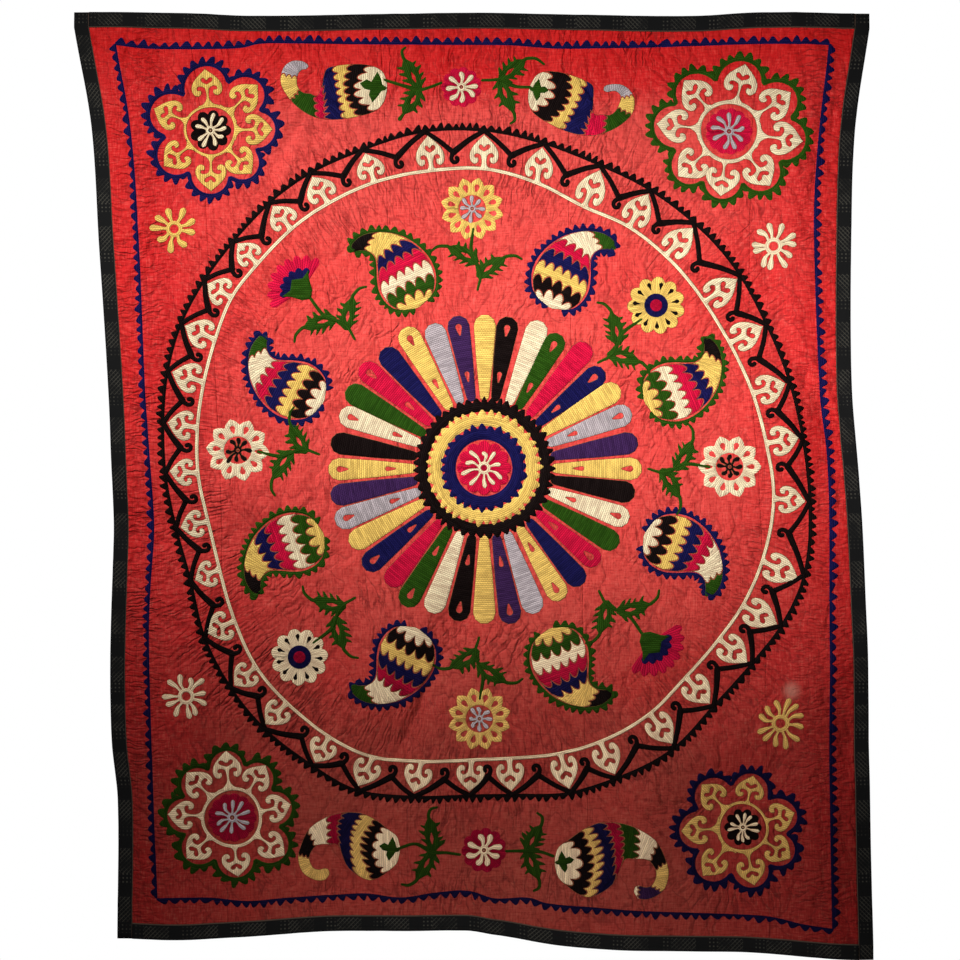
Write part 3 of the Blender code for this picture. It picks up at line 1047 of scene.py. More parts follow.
def spiky_leaf(work, spot, length, spikes, rng, bend, curl):
    """A leaf with spikes along both sides, a small open middle, and a tip that curls away."""
    root = 0.93 * length

    def bow(points):
        return spot.lay([(x + bend * y * max(y, 0.0) / length, y) for x, y in points])

    def side(way):
        edge = []
        for k in range(spikes):
            share = 0.05 + 0.82 * (k + 0.25 * (way > 0)) / spikes
            core = 0.0056 + 0.0100 * math.sin(math.pi * min(1.0, share * 0.85 + 0.15)) ** 0.8
            reach = (0.0155 - 0.0055 * share) * (1 + 0.12 * rng.standard_normal())
            y = share * length
            edge += [(way * core, y), (way * (core + 0.66 * reach), y + 0.50 * reach)]
            edge += [(way * (core + 0.84 * reach), y + 0.92 * reach), (way * core * 0.95, y + 0.74 * reach)]
        return edge

    outline = [(0.0050, -0.004), *side(1), (0.0026, length)]
    outline += [(-0.0026, length), *side(-1)[::-1], (-0.0050, -0.004)]
    middle = [(0.0, 0.24 * length), (0.0, 0.38 * length), (0.0, 0.54 * length)]
    middle = stroke(middle, [0.0016, 0.0076, 0.0016])
    grain = straight(spot.turn + math.pi / 2)
    work.patch("green", bow(outline), [bow(middle)], grain=grain, rim=FINE_RIM)
    if curl:
        tip = [(0.0, root), (0.0, length * 1.06)]
        tip += [(0.008 * curl, length + 0.018), (0.022 * curl, length + 0.022)]
        work.line("green", bow(tip), [0.0086, 0.0080, 0.0074, 0.0058], level=0.2, step=0.004)
    else:
        work.line("green", bow([(0.0, root), (0.0, length + 0.012)]), [0.0060, 0.0100], level=0.2)


def star_flower(work, spot, thread, heart_thread, points, radius, rng):
    """A flower with a pointed rim, a ring of small cut-outs and a daisy in its middle."""

    def rim(a):
        return radius * (0.80 + 0.20 * (1 - abs(((a * points / math.tau) % 1) * 2 - 1)) ** 0.8)

    drop = [(0, 0.56 * radius), (0, 0.64 * radius), (0, 0.70 * radius)]
    drop = stroke(drop, [0.05 * radius, 0.12 * radius, 0.16 * radius])
    holes = []
    for k in range(points):
        turn = math.tau * (k + 0.5) / points - math.pi / 2
        holes.append(spot.on(0, 0, turn).lay(drop))
    holes.append(spot.lay(circle(0.43 * radius, 20)))
    work.disc(thread, spot, polar_loop(rim, points * 6), holes, rim=FINE_RIM)
    daisy(work, spot, heart_thread, 8, 0.41 * radius, rng, level=0.2)


def carnation(work, spot, outer, inner, radius):
    """A fan of toothed petals on a green cup."""

    def fan(reach, spread, teeth):
        rim = []
        for k in range(teeth * 4 + 1):
            a = math.pi / 2 - spread * (0.5 - k / (teeth * 4))
            r = reach * (0.86 + 0.14 * abs(math.sin(math.pi * k / 4)))
            rim.append((r * math.cos(a), r * math.sin(a)))
        return [(0.16 * reach, 0.06 * reach), *rim, (-0.16 * reach, 0.06 * reach)]

    work.disc(outer, spot, fan(radius, 2.7, 9))
    work.disc(inner, spot, fan(radius * 0.66, 2.3, 6), level=1.0)
    cup = [(0, -0.30), (0.20, -0.16), (0.34, 0.10), (0.52, 0.30), (0.24, 0.26), (0.0, 0.44)]
    cup = [(x * radius, y * radius) for x, y in cup]
    work.patch("green", spot.lay([*cup, *[(-x, y) for x, y in cup[::-1][1:-1]]]), level=2.0, rim=FINE_RIM)


# The lines of the sawtooth border
Line = namedtuple("Line", "across drop")
BORDER_LEFT = rows_of(Line, (
    (-0.8008, 0.0704), (-0.7678, 0.2574), (-0.7491, 0.5214), (-0.7350, 0.8500), (-0.7181, 1.1154),
    (-0.7282, 1.3574), (-0.7181, 1.7314), (-0.7080, 1.9426),
))
BORDER_RIGHT = rows_of(Line, (
    (0.7678, 0.0704), (0.7440, 0.2800), (0.7348, 0.4774), (0.7471, 0.8074), (0.7678, 1.0274),
    (0.7678, 1.5114), (0.7730, 2.0097),
))
BORDER_TOP = rows_of(Line, (
    (-0.8008, 0.0704), (-0.7260, 0.0770), (-0.5400, 0.0762), (-0.4600, 0.0652), (-0.2200, 0.0671),
    (0.0440, 0.0682), (0.1760, 0.0770), (0.3300, 0.0750), (0.4840, 0.0700), (0.6270, 0.0660),
    (0.7678, 0.0704),
))
BORDER_BOTTOM = rows_of(Line, (
    (-0.7080, 1.9450), (-0.6600, 1.9446), (-0.5940, 1.9468), (-0.5150, 1.9550), (-0.4400, 1.9500),
    (-0.3300, 1.9435), (-0.2500, 1.9380), (-0.1760, 1.9455), (-0.0990, 1.9355), (-0.0264, 1.9330),
    (0.0340, 1.9510), (0.1056, 1.9495), (0.1540, 1.9620), (0.2640, 1.9699), (0.3960, 1.9776),
    (0.5500, 1.9853), (0.6380, 1.9897), (0.7040, 2.0029), (0.7730, 2.0117),
))


def border_line(rows):
    """A smooth line through a border's rows, across the cloth and up it."""
    return flow([(row.across, -row.drop) for row in rows], 12)


def length_setting(name, description, default):
    return FloatProperty(name=name, description=description, default=default, unit="LENGTH")


def colour_setting(name, description, default):
    return FloatVectorProperty(name=name, description=description, default=default, subtype="COLOR")


def thread_setting(name, default):
    return colour_setting(name, f"Colour of the {name.lower()} thread", default)


class SuzaniCloth(bpy.types.PropertyGroup):
    thickness: length_setting("Thickness", "Thickness of the cotton", 0.0012)
    pitch: length_setting("Grid", "Spacing of the cloth's grid", 0.0056)
    pucker: FloatProperty(
        name="Puckers", description="Height of the small gathers, as a share", default=1.0, min=0.0
    )
    red: colour_setting("Red", "Colour of the cotton", (0.62, 0.013, 0.014))
    # Paler red of the painted sheen in the middle, also used for the duller foot
    sheen_and_dull_red: colour_setting("Sheen and dull red", "Colour of the painted sheen and of the duller foot", (0.70, 0.062, 0.050))
    slub: colour_setting("Slub", "Colour of its thick threads", (0.80, 0.120, 0.095))
    black: colour_setting("Binding", "Colour of the binding", (0.005, 0.005, 0.005))
    hatch: colour_setting("Hatching", "Colour of the binding's pattern", (0.12, 0.11, 0.085))
    fold_line: colour_setting("Folded edge", "Colour of the binding's inner edge", (0.16, 0.10, 0.07))


class SuzaniThreads(bpy.types.PropertyGroup):
    cream: thread_setting("Cream", (0.88, 0.66, 0.42))
    black: thread_setting("Black", (0.005, 0.0015, 0.0012))
    blue: thread_setting("Blue", (0.006, 0.005, 0.060))
    green: thread_setting("Green", (0.018, 0.064, 0.002))
    magenta: thread_setting("Magenta", (0.600, 0.004, 0.040))
    yellow: thread_setting("Yellow", (0.820, 0.510, 0.115))
    grey: thread_setting("Grey", (0.430, 0.360, 0.370))
    purple: thread_setting("Purple", (0.042, 0.013, 0.070))
    # Brown outline on the rims of patches: an outline thread, with painted shade round the raised
    # needlework
    edging: thread_setting("Edging", (0.200, 0.075, 0.030))


class SuzaniStitch(bpy.types.PropertyGroup):
    row: length_setting("Row", "Width of a row of thread", 0.0042)
    tie: length_setting("Tie", "Spacing of the small tying stitches", 0.0056)
    pitch: length_setting("Grid", "Longest edge in a patch", 0.008)


class SuzaniRing(bpy.types.PropertyGroup):
    teeth: length_setting("Teeth", "Spacing of the outer line's teeth", 0.0172)
    tooth: length_setting("Tooth", "Height of the teeth", 0.0105)
    line: length_setting("Line", "Width of the ring's lines", 0.0094)
    heart: length_setting("Heart", "Width of a heart", 0.0645)


class SUZANI_OT_ground(bpy.types.Operator):
    """Hang the lengths of red cotton"""

    bl_idname = "suzani.ground"
    bl_label = "Ground"

    def execute(self, context):
        settings = context.scene.suzani_cloth
        material = cotton_material()
        rows = edge_steps(0.0, 1.0, HUNG_LENGTH, settings.pitch)
        for number, (first, last) in enumerate(zip(SEAMS, SEAMS[1:]), start=1):
            width = (last - first) * HUNG_WIDTH
            columns = edge_steps(first, last, width, settings.pitch)

            def place(share, down, first=first, last=last, width=width):
                across, drop = ground_place(share, down)
                to_seam = np.minimum(share - first, last - share) * width / (last - first)
                to_end = np.minimum(down, 1 - down) * HUNG_LENGTH
                tuck = turned_edge(np.minimum(to_seam, to_end), depth=0.0006)
                return across, drop, tuck

            name = f"ground_{number}"
            piece = hang_cloth(name, columns, rows, place, material)
            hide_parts(f"ground_length_{number}")
        return {"FINISHED"}


class SUZANI_OT_binding(bpy.types.Operator):
    """Sew the black binding round the four edges"""

    bl_idname = "suzani.binding"
    bl_label = "Binding"

    def execute(self, context):
        settings = context.scene.suzani_cloth
        material = binding_material()
        cross = edge_steps(0.0, 1.0, BINDING_WIDTH, pitch=0.006)

        def tuck_at(share):
            return turned_edge(np.minimum(share, 1 - share) * BINDING_WIDTH, depth=0.0010)

        def aside_at(share):
            """How far out from the ground's edge a share of the binding's width is."""
            return share * (BINDING_WIDTH + LAP) - LAP

        end = BINDING_WIDTH / HUNG_LENGTH
        down = np.linspace(0.0, 1.0, round(HUNG_LENGTH / settings.pitch))
        down = [-end, -end / 2, *down, 1 + end / 2, 1 + end]
        for name, share, outward in (("left", 0.0, -1), ("right", 1.0, 1)):

            def place(aside, at, share=share, outward=outward):
                across, drop = ground_place(np.full(at.shape, share), np.clip(at, 0.0, 1.0))
                drop = drop + np.minimum(at, 0.0) * HUNG_LENGTH + np.maximum(at - 1.0, 0.0) * HUNG_LENGTH
                return across + outward * aside_at(aside), drop, tuck_at(aside)

            self.sew(name, cross, down, place, material, SIDE_BINDING_LENGTH)
        columns = np.linspace(0.0, 1.0, round(HUNG_WIDTH / settings.pitch))
        for name, at, outward in (("top", 0.0, -1), ("bottom", 1.0, 1)):

            def place(share, aside, at=at, outward=outward):
                across, drop = ground_place(share, np.full(share.shape, at))
                return across, drop + outward * aside_at(aside), tuck_at(aside)

            self.sew(name, columns, cross, place, material, END_BINDING_LENGTH)
        return {"FINISHED"}

    def sew(self, name, columns, rows, place, material, length):
        piece = hang_cloth(f"edge_binding_{name}", columns, rows, place, material)
        self.measure(piece, name)
        if name in ("left", "bottom"):
            piece.data.flip_normals()
        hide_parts(f"binding_{name}")

    def measure(self, piece, name):
        """Sets the pattern's place: distance along the binding and out from its inner edge."""
        mesh = piece.data
        across, _, up = read_places(mesh).T
        if name in ("left", "right"):
            edge = read_table(LEFT_EDGE if name == "left" else RIGHT_EDGE, -up)
            along, aside = up, np.abs(across - edge)
        else:
            share = (across - LEFT_EDGE[0].across) / (RIGHT_EDGE[0].across - LEFT_EDGE[0].across)
            if name == "bottom":
                share = (across - LEFT_EDGE[-1].across) / (RIGHT_EDGE[-1].across - LEFT_EDGE[-1].across)
            edge = read_table(TOP_EDGE if name == "top" else BOTTOM_EDGE, share)
            along, aside = across, np.abs(-up - edge)
        corner = np.empty(len(mesh.loops), dtype=np.int32)
        mesh.loops.foreach_get("vertex_index", corner)
        places = np.column_stack([along, aside])[corner]
        mesh.uv_layers["cloth"].data.foreach_set("uv", places.ravel())


class SUZANI_OT_border(bpy.types.Operator):
    """Work the blue sawtooth border"""

    bl_idname = "suzani.border"
    bl_label = "Sawtooth border"

    def execute(self, context):
        rng = np.random.default_rng(11)
        work = Needlework("border")
        sides = (
            (border_line(BORDER_LEFT)[::-1], 0.0028, 0.0226, 0.0092, BUMP),
            (border_line(BORDER_TOP), 0.0032, 0.0222, 0.0110, BUMP),
            (border_line(BORDER_RIGHT), 0.0031, 0.0222, 0.0118, THORN),
            (border_line(BORDER_BOTTOM)[::-1], 0.0028, 0.0226, 0.0102, THORN),
        )
        for line, half, pitch, height, tooth in sides:
            work.saw("blue", line, half, pitch, height, rng, tooth=tooth)
        work.lay()
        return {"FINISHED"}


# The hook that hangs from each point of the zigzag: across and up from that point
HOOK = (
    (0.0, 0.002), (-0.0036, -0.0060), (-0.0058, -0.0135), (-0.0030, -0.0205), (0.0034, -0.0220),
    (0.0078, -0.0178), (0.0066, -0.0130),
)
HOOK_WIDTHS = (0.0120, 0.0104, 0.0094, 0.0092, 0.0092, 0.0092, 0.0100)


class SUZANI_OT_ring(bpy.types.Operator):
    """Work the ring of hearts, its toothed outer line and the hooked zigzag between them"""

    bl_idname = "suzani.ring"
    bl_label = "Ring of hearts"

    def execute(self, context):
        settings = context.scene.suzani_ring
        rng = np.random.default_rng(23)
        work = Needlework("ring")
        half = settings.line / 2
        teeth = {"closed": True, "lean": 0.1}
        peaks = ring_line("peak")
        work.saw("black", peaks, half * 0.82, settings.teeth, settings.tooth, rng, **teeth)
        work.strip("cream", ring_line("foot"), half, half, closed=True, edging=True)
        for row, after in zip(HEARTS, (*HEARTS[1:], HEARTS[0])):
            pitch = (after.angle - row.angle) % 360
            spot = ring_spot(row.angle, row.foot, 0.05 * rng.standard_normal())
            width = settings.heart * (1 + 0.04 * rng.standard_normal())
            height = row.peak - row.foot - half * 1.9
            heart(work, spot, "cream", rng, width, height, stem=0.0125, neck=0.0058)
            self.zigzag(work, row, pitch, rng)
        work.lay()
        return {"FINISHED"}

    def zigzag(self, work, row, pitch, rng):
        """Two arms from the outer line to a point between two hearts, and the hook that hangs there."""

        def spot_at(degrees, share):
            low, high = float(ring_radius("foot", degrees)), float(ring_radius("peak", degrees))
            return ring_spot(degrees, low + (high - low) * share)

        share = 0.475 + 0.025 * rng.standard_normal()
        dip = spot_at(row.angle + pitch * (0.5 + 0.03 * rng.standard_normal()), share)
        for number, angle in enumerate((row.angle, row.angle + pitch)):
            end = spot_at(angle, 0.985).middle
            middle = (end + dip.middle) / 2
            out = middle - (RING_ACROSS, -RING_DROP)
            middle = middle + out / np.hypot(*out) * 0.003
            widths = [0.0108, 0.0112, 0.0122] if number == 0 else [0.0108, 0.0122, 0.0148]
            work.line("black", [end, middle, dip.middle], widths, level=0.4 + 0.4 * number)
        work.line("black", dip.lay(HOOK), HOOK_WIDTHS, level=1.2, step=0.0028)


Rosette = namedtuple("Rosette", "across up margin ring half disc bloom hearts outline line middle daisy")
# A rosette's hearts: each one's direction from the middle, in degrees from across, and its reach
ROSETTES = (
    Rosette(
        -0.5918, -0.2596, 0.026, 0.0550, 0.0038, 0.0460, 0.0360,
        ((95, 0.138), (159, 0.133), (218, 0.130), (271, 0.136), (314, 0.132), (361, 0.138), (404, 0.145)),
        "blue", "yellow", "black", "cream",
    ),
    Rosette(
        0.5470, -0.2615, 0.026, 0.0655, 0.0052, 0.0520, 0.0385,
        (
            (76, 0.154), (132, 0.150), (174, 0.161), (222, 0.150),
            (262, 0.146), (307, 0.151), (351, 0.163), (391, 0.161),
        ),
        "green", "cream", "magenta", "grey",
    ),
    Rosette(
        -0.5443, -1.7690, 0.021, 0.0632, 0.0046, 0.0540, 0.0385,
        (
            (96, 0.148), (135, 0.142), (176, 0.142), (221, 0.134),
            (275, 0.133), (324, 0.143), (372, 0.133), (418, 0.137),
        ),
        "green", "cream", "magenta", "grey",
    ),
    Rosette(
        0.5786, -1.7921, 0.025, 0.0530, 0.0038, 0.0415, 0.0325,
        ((79, 0.117), (134, 0.133), (183, 0.138), (230, 0.139), (281, 0.131), (328, 0.123), (377, 0.118)),
        "blue", "yellow", "black", "cream",
    ),
)


class SUZANI_OT_rosettes(bpy.types.Operator):
    """Work the corner rosettes of hearts"""

    bl_idname = "suzani.rosettes"
    bl_label = "Corner rosettes"

    def execute(self, context):
        rng = np.random.default_rng(31)
        for number, row in enumerate(ROSETTES, start=1):
            work = Needlework(f"rosette_{number}")
            spot = Spot(row.across, row.up)
            self.outline(work, spot, row, rng)
            wave = rng.uniform(0, math.tau)
            ring = polar_loop(lambda a: row.ring * (1 + 0.02 * math.sin(3 * a + wave)), 64)
            ring = closed_line(spot.lay(ring))
            work.strip(row.line, ring, row.half, row.half, closed=True, edging=True)
            mean = np.mean([reach for _, reach in row.hearts]) - row.ring
            for degrees, reach in row.hearts:
                foot = spot.on(0, 0, math.radians(degrees - 90)).on(0, row.ring)
                length = reach - row.ring
                body = 0.365 * (length + mean)
                heart(work, foot, row.line, rng, mean * 0.85, length, length - body, neck=0.0032)
            petals = 9 if number < 3 else 10
            lobes = petals if row.middle == "black" else 13
            depth = 0.20 if row.middle == "black" else 0.08
            work.disc(row.middle, spot, scalloped(row.disc, lobes, depth))
            daisy(work, spot, row.daisy, petals, row.bloom, rng, level=1.2, slim=0.92, eye=0.12)
            work.lay()
        return {"FINISHED"}

    def outline(self, work, spot, row, rng):
        """A scalloped line, a lobe for each heart, with teeth outside."""
        teeth = 0.0125
        line_half = 0.0049
        angles = np.radians([degrees for degrees, _ in row.hearts])
        angles = np.append(angles, angles[0] + math.tau)
        reaches = np.array([reach for _, reach in (*row.hearts, row.hearts[0])])
        peaks = reaches + row.margin - teeth - line_half
        between = (angles[-1] + angles[-2]) / 2 - math.tau

        def radius(a):
            turned = angles[0] + (a - angles[0]) % math.tau
            after = int(np.clip(np.searchsorted(angles, turned, side="right"), 1, len(angles) - 1))
            spread = math.sin((angles[after] - angles[after - 1]) / 2) / 0.92
            reached = 0.0
            for angle, peak in zip(angles[after - 1 : after + 1], peaks[after - 1 : after + 1]):
                lobe = peak * spread / (1 + spread)
                middle, swing = peak - lobe, turned - angle
                aside = middle * math.sin(swing)
                if abs(aside) < lobe:
                    reached = max(reached, middle * math.cos(swing) + math.sqrt(lobe**2 - aside**2))
            return reached

        loop = polar_loop(radius, len(row.hearts) * 24, between)
        line = closed_line(spot.lay(loop))[::-1]
        far = np.hypot(*(line - spot.middle).T)
        dips = [k for k in range(len(line)) if far[k] == far[max(k - 7, 0) : k + 8].min()]
        valleys = lengths_along(line)[dips]
        work.saw(
            row.outline, line, line_half, 0.0180, teeth, rng, closed=True, lean=0.12, valleys=valleys
        )


Bloom = namedtuple("Bloom", "across up radius petals thread slim")
DAISIES = (
    Bloom(-0.6710, -0.4765, 0.050, 9, "yellow", 0.92),
    Bloom(0.6435, -0.5148, 0.052, 11, "cream", 1.00),
    Bloom(-0.6437, -1.5015, 0.050, 11, "cream", 0.98),
    Bloom(0.6589, -1.5611, 0.055, 12, "yellow", 0.98),
)
CENTRE_FLOWERS = (
    Bloom(-0.0409, -0.1628, 0.045, 8, "cream", 0.98),
    Bloom(0.0088, -1.8414, 0.050, 8, "cream", 0.98),
)


class SUZANI_OT_daisies(bpy.types.Operator):
    """Work the small daisies and the two flowers on discs"""

    bl_idname = "suzani.daisies"
    bl_label = "Daisies"

    def execute(self, context):
        rng = np.random.default_rng(41)
        work = Needlework("daisies")
        for bloom in DAISIES:
            spot = Spot(bloom.across, bloom.up, rng.uniform(0, 1))
            daisy(work, spot, bloom.thread, bloom.petals, bloom.radius, rng, slim=bloom.slim, eye=0.19)
        for bloom in CENTRE_FLOWERS:
            spot = Spot(bloom.across, bloom.up, rng.uniform(0, 1))
            work.disc("magenta", spot, scalloped(bloom.radius, 11, 0.12))
            shape = {"level": 1.2, "slim": bloom.slim, "eye": 0.11}
            daisy(work, spot, bloom.thread, bloom.petals, bloom.radius * 0.78, rng, **shape)
        work.lay()
        return {"FINISHED"}


Banded = namedtuple("Banded", "across up turn size mirror rungs bands sprout")
TOP_LEFT_BANDS = (
    (2.1, "cream", 28), (3.65, "black", 20), (4.95, "yellow", 1), (6.7, "blue", 0),
    (8.0, "magenta", 0), (10.4, "green", 0), (12.4, "yellow", 0), (16, "grey", 0),
)
TOP_RIGHT_BANDS = (
    (1.7, "cream", 19), (3.45, "black", 23), (4.9, "yellow", 4), (7.2, "blue", 0),
    (9.3, "magenta", 0), (11.6, "green", 0), (13.1, "yellow", 0), (17, "grey", 0),
)
LEFT_BANDS = (
    (1.95, "cream", 27), (3.1, "black", 23), (4.4, "yellow", 24), (5.65, "blue", 14),
    (6.7, "magenta", 0), (8.0, "cream", 0), (9.5, "black", 0), (15, "yellow", 0),
)
RIGHT_BANDS = (
    (1.6, "cream", 25), (3.0, "black", 20), (3.75, "yellow", 15), (4.95, "blue", 12),
    (5.7, "magenta", 8), (6.8, "green", 3), (8, "cream", 0), (9, "black", 0), (11, "yellow", 0),
    (13, "purple", 0), (15, "cream", 0),
)
PEPPERS = (
    Banded(-0.2035, -0.1640, 0.0, 1.0, True, UPPER_PEPPER, TOP_LEFT_BANDS, 1.4),
    Banded(0.1080, -0.1650, -0.275, 1.0, False, LONG_TAILED_PEPPER, TOP_RIGHT_BANDS, 1.0),
    Banded(-0.1749, -1.8370, 0.0, 0.90, True, LOWER_PEPPER, LEFT_BANDS, 1.2),
    Banded(0.1637, -1.8670, 0.0, 1.0, False, LOWER_PEPPER, RIGHT_BANDS, 1.0),
)
# A sprig's place, then its upper and its lower leaf, each as turn, length and curl, and its stem
Leaf = namedtuple("Leaf", "turn length curl")
Sprig = namedtuple("Sprig", "across up mirror rise fall pepper arch bloom")
SPRIGS = (
    Sprig(
        -0.1350, -0.1690, False, Leaf(0.34, 0.075, 0.7), Leaf(0.45, 0.064, 0.0),
        (-0.074, 0.021), -0.001, (0.049, 0.015),
    ),
    Sprig(
        0.0451, -0.1480, True, Leaf(0.78, 0.070, -1.4), Leaf(0.28, 0.076, 0.8),
        (-0.066, -0.016), -0.006, (0.040, 0.000),
    ),
    Sprig(
        -0.1045, -1.8434, False, Leaf(0.00, 0.076, 1.0), Leaf(0.42, 0.070, -0.9),
        (-0.074, 0.008), 0.014, (0.060, -0.007),
    ),
    Sprig(
        0.1043, -1.8445, True, Leaf(0.38, 0.064, 1.0), Leaf(0.28, 0.066, 1.0),
        (-0.056, -0.010), 0.004, (0.046, 0.000),
    ),
)
# The green sprout on a pepper's head: along the pepper and aside, in millimetres
CALYX = (
    (-16, 1), (-8, 5), (-5, 14), (2, 25), (8, 13), (10, 8), (18, 11), (28, 3), (20, -5), (11, -6),
    (12, -14), (5, -25), (-3, -14), (-7, -6), (-13, -4),
)


class SUZANI_OT_peppers(bpy.types.Operator):
    """Work the banded peppers above and below the ring, and the leaves between them"""

    bl_idname = "suzani.peppers"
    bl_label = "Peppers"

    def execute(self, context):
        rng = np.random.default_rng(53)
        work = Needlework("peppers")
        for row in PEPPERS:
            spot = Spot(row.across, row.up, row.turn, row.size, row.mirror)
            banded(work, spot, row.rungs, row.bands)
            sprout = [(x * 0.001, y * 0.001) for x, y in CALYX]
            middle = spot.on(0.016 * row.sprout, 0.0, 0.1, row.sprout)
            work.patch("green", middle.lay(sprout), level=1.3, rim=FINE_RIM)
        for row in SPRIGS:
            self.sprig(work, row, rng)
        work.lay()
        return {"FINISHED"}

    def sprig(self, work, row, rng):
        """A stem that runs from a pepper to a flower, with a leaf above it and one below."""
        spot = Spot(row.across, row.up, mirror=row.mirror)
        (far_x, far_y), (near_x, near_y) = row.pepper, row.bloom
        stem = [(far_x, far_y), (far_x * 0.5, far_y * 0.5 + row.arch), (0.0, 0.0)]
        stem += [(near_x * 0.5, near_y * 0.35), (near_x, near_y)]
        widths = [0.0066, 0.0070, 0.0100, 0.0068, 0.0060]
        work.line("green", spot.lay(stem), widths, level=1.0)
        rise = spot.on(0.0, 0.0, row.rise.turn)
        spiky_leaf(work, rise, row.rise.length, 4, rng, bend=-0.10, curl=row.rise.curl)
        fall = spot.on(0.0, 0.0, math.pi - row.fall.turn)
        spiky_leaf(work, fall, row.fall.length, 3, rng, bend=0.10, curl=-row.fall.curl)


SUN_THREADS = ("yellow", "black", "cream", "green", "magenta", "blue", "yellow", "grey", "purple")
BOTEH_ENDS = ((1, 4), (2, 5), (3, 5), (4, 5), (5, 4), (7, 2), (10, 0))
BOTEH_THREADS = (
    ("cream", "black", "yellow", "blue", "magenta", "cream", "green"),
    ("yellow", "green", "cream", "magenta", "blue", "yellow", "black"),
)


class SUZANI_OT_middle(bpy.types.Operator):
    """Work the sun inside the ring, and the wreath of botehs and flowers round it"""

    bl_idname = "suzani.middle"
    bl_label = "Sun and wreath"

    def execute(self, context):
        rng = np.random.default_rng(61)
        self.sun(rng)
        botehs, flowers = Needlework("botehs"), Needlework("wreath")
        for k in range(8):
            self.boteh(botehs, 45 * k + 22.5, k, rng)
            self.spray(flowers, 45 * k + 2 * rng.standard_normal(), k, rng)
        botehs.lay()
        flowers.lay()
        return {"FINISHED"}

    def sun(self, rng):
        work = Needlework("sun")
        spot = Spot(RING_ACROSS, -RING_DROP)
        petals, inner, outer = 36, 0.158, 0.318
        for k in range(petals):
            place = spot.on(0, 0, -math.tau * k / petals + 0.010 * rng.standard_normal())
            reach = outer * (1 + 0.015 * rng.standard_normal())
            wide = math.tau * reach / petals * 0.92
            thread = SUN_THREADS[k % len(SUN_THREADS)]
            outline = [(0, inner), (0, (inner + reach) / 2), (0, reach)]
            outline = stroke(outline, [wide * 0.44, wide * 0.76, wide])
            holes = []
            if k % 2:
                for at, size in ((0.66, 0.8), (0.99, 1.1)):
                    drop = [(0, reach * at - 0.015), (0, reach * at - 0.004), (0, reach * at + 0.002)]
                    holes.append(place.lay(stroke(drop, [0.002 * size, 0.007 * size, 0.011 * size])))
            work.patch(thread, place.lay(outline), holes, grain=straight(place.turn), edging=True)
        rings = ((0.134, 0.011, "black"), (0.104, 0.012, "yellow"), (0.074, 0.012, "blue"))
        for level, (radius, half, thread) in enumerate(rings):
            line = closed_line(spot.lay(circle(radius, 90))[::-1])
            work.saw(thread, line, half, 0.0165, 0.0120, rng, level=0.5 * (level + 1), closed=True)
        work.disc("magenta", spot, scalloped(0.060, 12, 0.14), level=2.2)
        daisy(work, spot, "cream", 10, 0.046, rng, level=3.2, slim=0.8)
        work.lay()

    def boteh(self, work, degrees, k, rng):
        spot = ring_spot(degrees, 0.380, 0.04 * rng.standard_normal())
        place = Spot(*spot.middle, spot.turn, 1.34, mirror=k % 2 == 1)
        bands = [(end, thread, bulge) for (end, bulge), thread in zip(BOTEH_ENDS, BOTEH_THREADS[k % 2])]
        banded(work, place, BOTEH, bands)
        last = len(BOTEH) - 1
        rail = np.linspace(0, last - 0.4, 60)
        out = ladder_place(BOTEH, rail, 0.0)
        back = ladder_place(BOTEH, rail[::-1], 1.0)
        middle = ladder_place(BOTEH, rail, 0.5)
        around_it = np.vstack([out + (out - middle) / 9, back + (back - middle[::-1]) / 9])
        line = place.lay(around_it)
        if k % 2:
            line = line[::-1]
        saw = "green" if k % 2 else "blue"
        work.saw(saw, flow(line[::4], 3), 0.0034, 0.0165, 0.0095, rng)

    def spray(self, work, degrees, k, rng):
        foot = float(ring_radius("foot", degrees))
        spot = ring_spot(degrees, foot - 0.090)
        stem = [(0.004, -0.178), (0.012, -0.140), (-0.006, -0.095), (0.0, -0.045)]
        work.line("green", spot.lay(stem), [0.0060, 0.0084, 0.0086, 0.0070], level=0.4)
        spiky_leaf(work, spot.on(0.008, -0.150, -0.80), 0.070, 4, rng, bend=0.18, curl=0.9)
        spiky_leaf(work, spot.on(0.004, -0.118, 0.85), 0.070, 4, rng, bend=-0.18, curl=-0.9)
        kind = k % 4
        if kind == 0:
            star_flower(work, spot, "cream", "black", 10, 0.070, rng)
        elif kind == 1:
            carnation(work, spot.on(0, -0.024), "magenta", "blue", 0.080)
        elif kind == 2:
            star_flower(work, spot, "yellow", "grey", 12, 0.070, rng)
        else:
            self.sunflower(work, spot, ("cream", "yellow")[k // 4], 0.064)

    def sunflower(self, work, spot, thread, radius):
        """A scalloped flower with a ring of dark drops and a banded eye."""
        work.disc(thread, spot, scalloped(radius, 11, 0.16), edging=True)
        for k in range(11):
            place = spot.on(0, 0, math.tau * k / 11)
            drop = [(0, 0.56 * radius), (0, 0.66 * radius), (0, 0.72 * radius)]
            work.line("black", place.lay(drop), [0.05 * radius, 0.10 * radius, 0.17 * radius], level=0.8)
        for band, share, count, level in (("blue", 0.42, 20, 0.9), ("magenta", 0.22, 14, 1.8)):
            work.disc(band, spot, circle(share * radius, count), level=level)


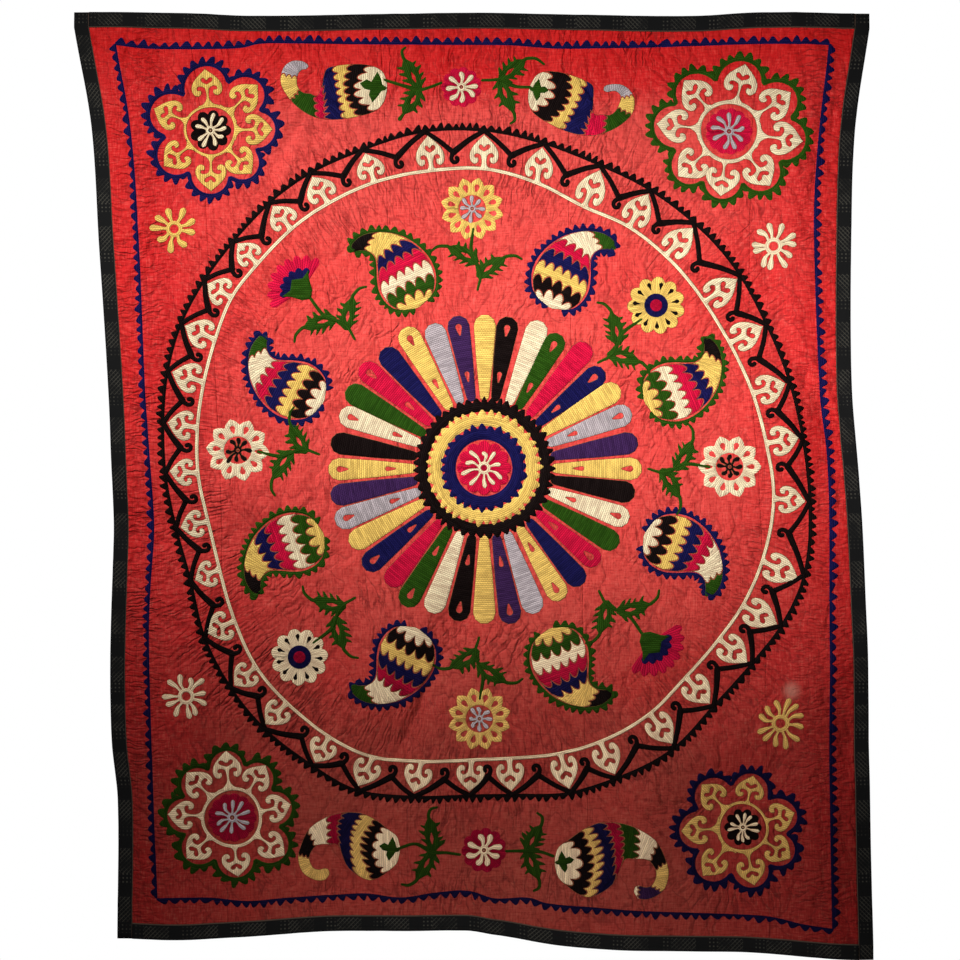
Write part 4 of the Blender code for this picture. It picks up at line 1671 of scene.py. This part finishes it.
class SUZANI_OT_stage(bpy.types.Operator):
    """Set the floor, the lights and the camera"""

    bl_idname = "suzani.stage"
    bl_label = "Stage"

    def execute(self, context):
        scene = context.scene
        scene.view_settings.view_transform = "Standard"
        world = bpy.data.worlds.new("studio")
        world.use_nodes = True
        nodes, links = world.node_tree.nodes, world.node_tree.links
        back, glow = nodes["Background"], nodes.new("ShaderNodeBackground")
        for sky in (back, glow):
            sky.inputs["Color"].default_value = (1.0, 1.0, 1.0, 1.0)
        back.inputs["Strength"].default_value = 0.05
        path, pick = nodes.new("ShaderNodeLightPath"), nodes.new("ShaderNodeMixShader")
        links.new(path.outputs["Is Camera Ray"], pick.inputs[0])
        links.new(back.outputs[0], pick.inputs[1])
        links.new(glow.outputs[0], pick.inputs[2])
        links.new(pick.outputs[0], nodes["World Output"].inputs["Surface"])
        scene.world = world
        self.floor(radius=1.25, up=-2.37)
        self.light("left key", (-1.30, -1.65, 0.26), (-0.18, 0.0, -0.86), 0.6, 10.6, 70)
        self.light("right key", (-0.02, -3.4, -0.70), (0.64, 0.0, -0.68), 0.6, 5.0, 38)
        self.light("low light", (0.67, -2.9, -2.60), (0.02, 0.0, -2.30), 1.6, 2.1, 32)
        self.light("behind", (0.0, 3.0, 1.2), (0.0, 0.0, -1.0), 2.0, 40.0)
        camera = add_object("camera", bpy.data.cameras.new("camera"))
        camera.data.sensor_width = 36.0
        distance, frame_width, eye_level = 5.0, 2.112, -1.0274
        camera.data.lens = camera.data.sensor_width * distance / frame_width
        camera.location = (0.0, -distance, eye_level)
        camera.rotation_euler = (math.pi / 2, 0.0, 0.0)
        scene.camera = camera
        return {"FINISHED"}

    def floor(self, radius, up):
        shape = bmesh.new()
        bmesh.ops.create_circle(shape, cap_ends=True, segments=96, radius=radius)
        bmesh.ops.translate(shape, verts=shape.verts, vec=(0.0, 0.0, up))
        pale = Shader("pale floor", 0.7)
        pale.set_colour((0.82, 0.81, 0.80, 1.0))
        floor = add_object("floor", mesh_of("floor", shape, [pale.material]))

    def light(self, name, place, aim, size, power, spread=180):
        data = bpy.data.lights.new(name, "AREA")
        data.spread = math.radians(spread)
        data.shape = "DISK"
        data.size = size
        data.energy = power
        lamp = add_object(name, data)
        lamp.location = place
        away = np.array(aim) - np.array(place)
        flat = math.hypot(away[0], away[1])
        lamp.rotation_euler = (math.pi / 2 + math.atan2(away[2], flat), 0.0, math.atan2(-away[0], away[1]))


class SUZANI_PT_panel(bpy.types.Panel):
    """Lists the steps of the hanging"""

    bl_idname = "SUZANI_PT_panel"
    bl_label = "Suzani"
    bl_space_type = "VIEW_3D"
    bl_region_type = "UI"
    bl_category = "Suzani"

    def draw(self, context):
        for step in STEPS:
            self.layout.operator(step.bl_idname)
        for group in SETTINGS:
            settings = getattr(context.scene, group)
            for key in settings.bl_rna.properties.keys():
                if key not in ("rna_type", "name"):
                    self.layout.prop(settings, key)


STEPS = (
    SUZANI_OT_ground,
    SUZANI_OT_binding,
    SUZANI_OT_border,
    SUZANI_OT_ring,
    SUZANI_OT_rosettes,
    SUZANI_OT_daisies,
    SUZANI_OT_peppers,
    SUZANI_OT_middle,
    SUZANI_OT_stage,
)
SETTINGS = {
    "suzani_cloth": SuzaniCloth,
    "suzani_threads": SuzaniThreads,
    "suzani_stitch": SuzaniStitch,
    "suzani_ring": SuzaniRing,
}
CLASSES = (*SETTINGS.values(), *STEPS, SUZANI_PT_panel)


def register():
    for made in CLASSES:
        bpy.utils.register_class(made)
    for name, group in SETTINGS.items():
        setattr(bpy.types.Scene, name, PointerProperty(type=group))


def unregister():
    for name in SETTINGS:
        delattr(bpy.types.Scene, name)
    for made in reversed(CLASSES):
        bpy.utils.unregister_class(made)


def main():
    register()
    for step in STEPS:
        getattr(bpy.ops.suzani, step.bl_idname.split(".")[1])()


if __name__ == "__main__":
    main()
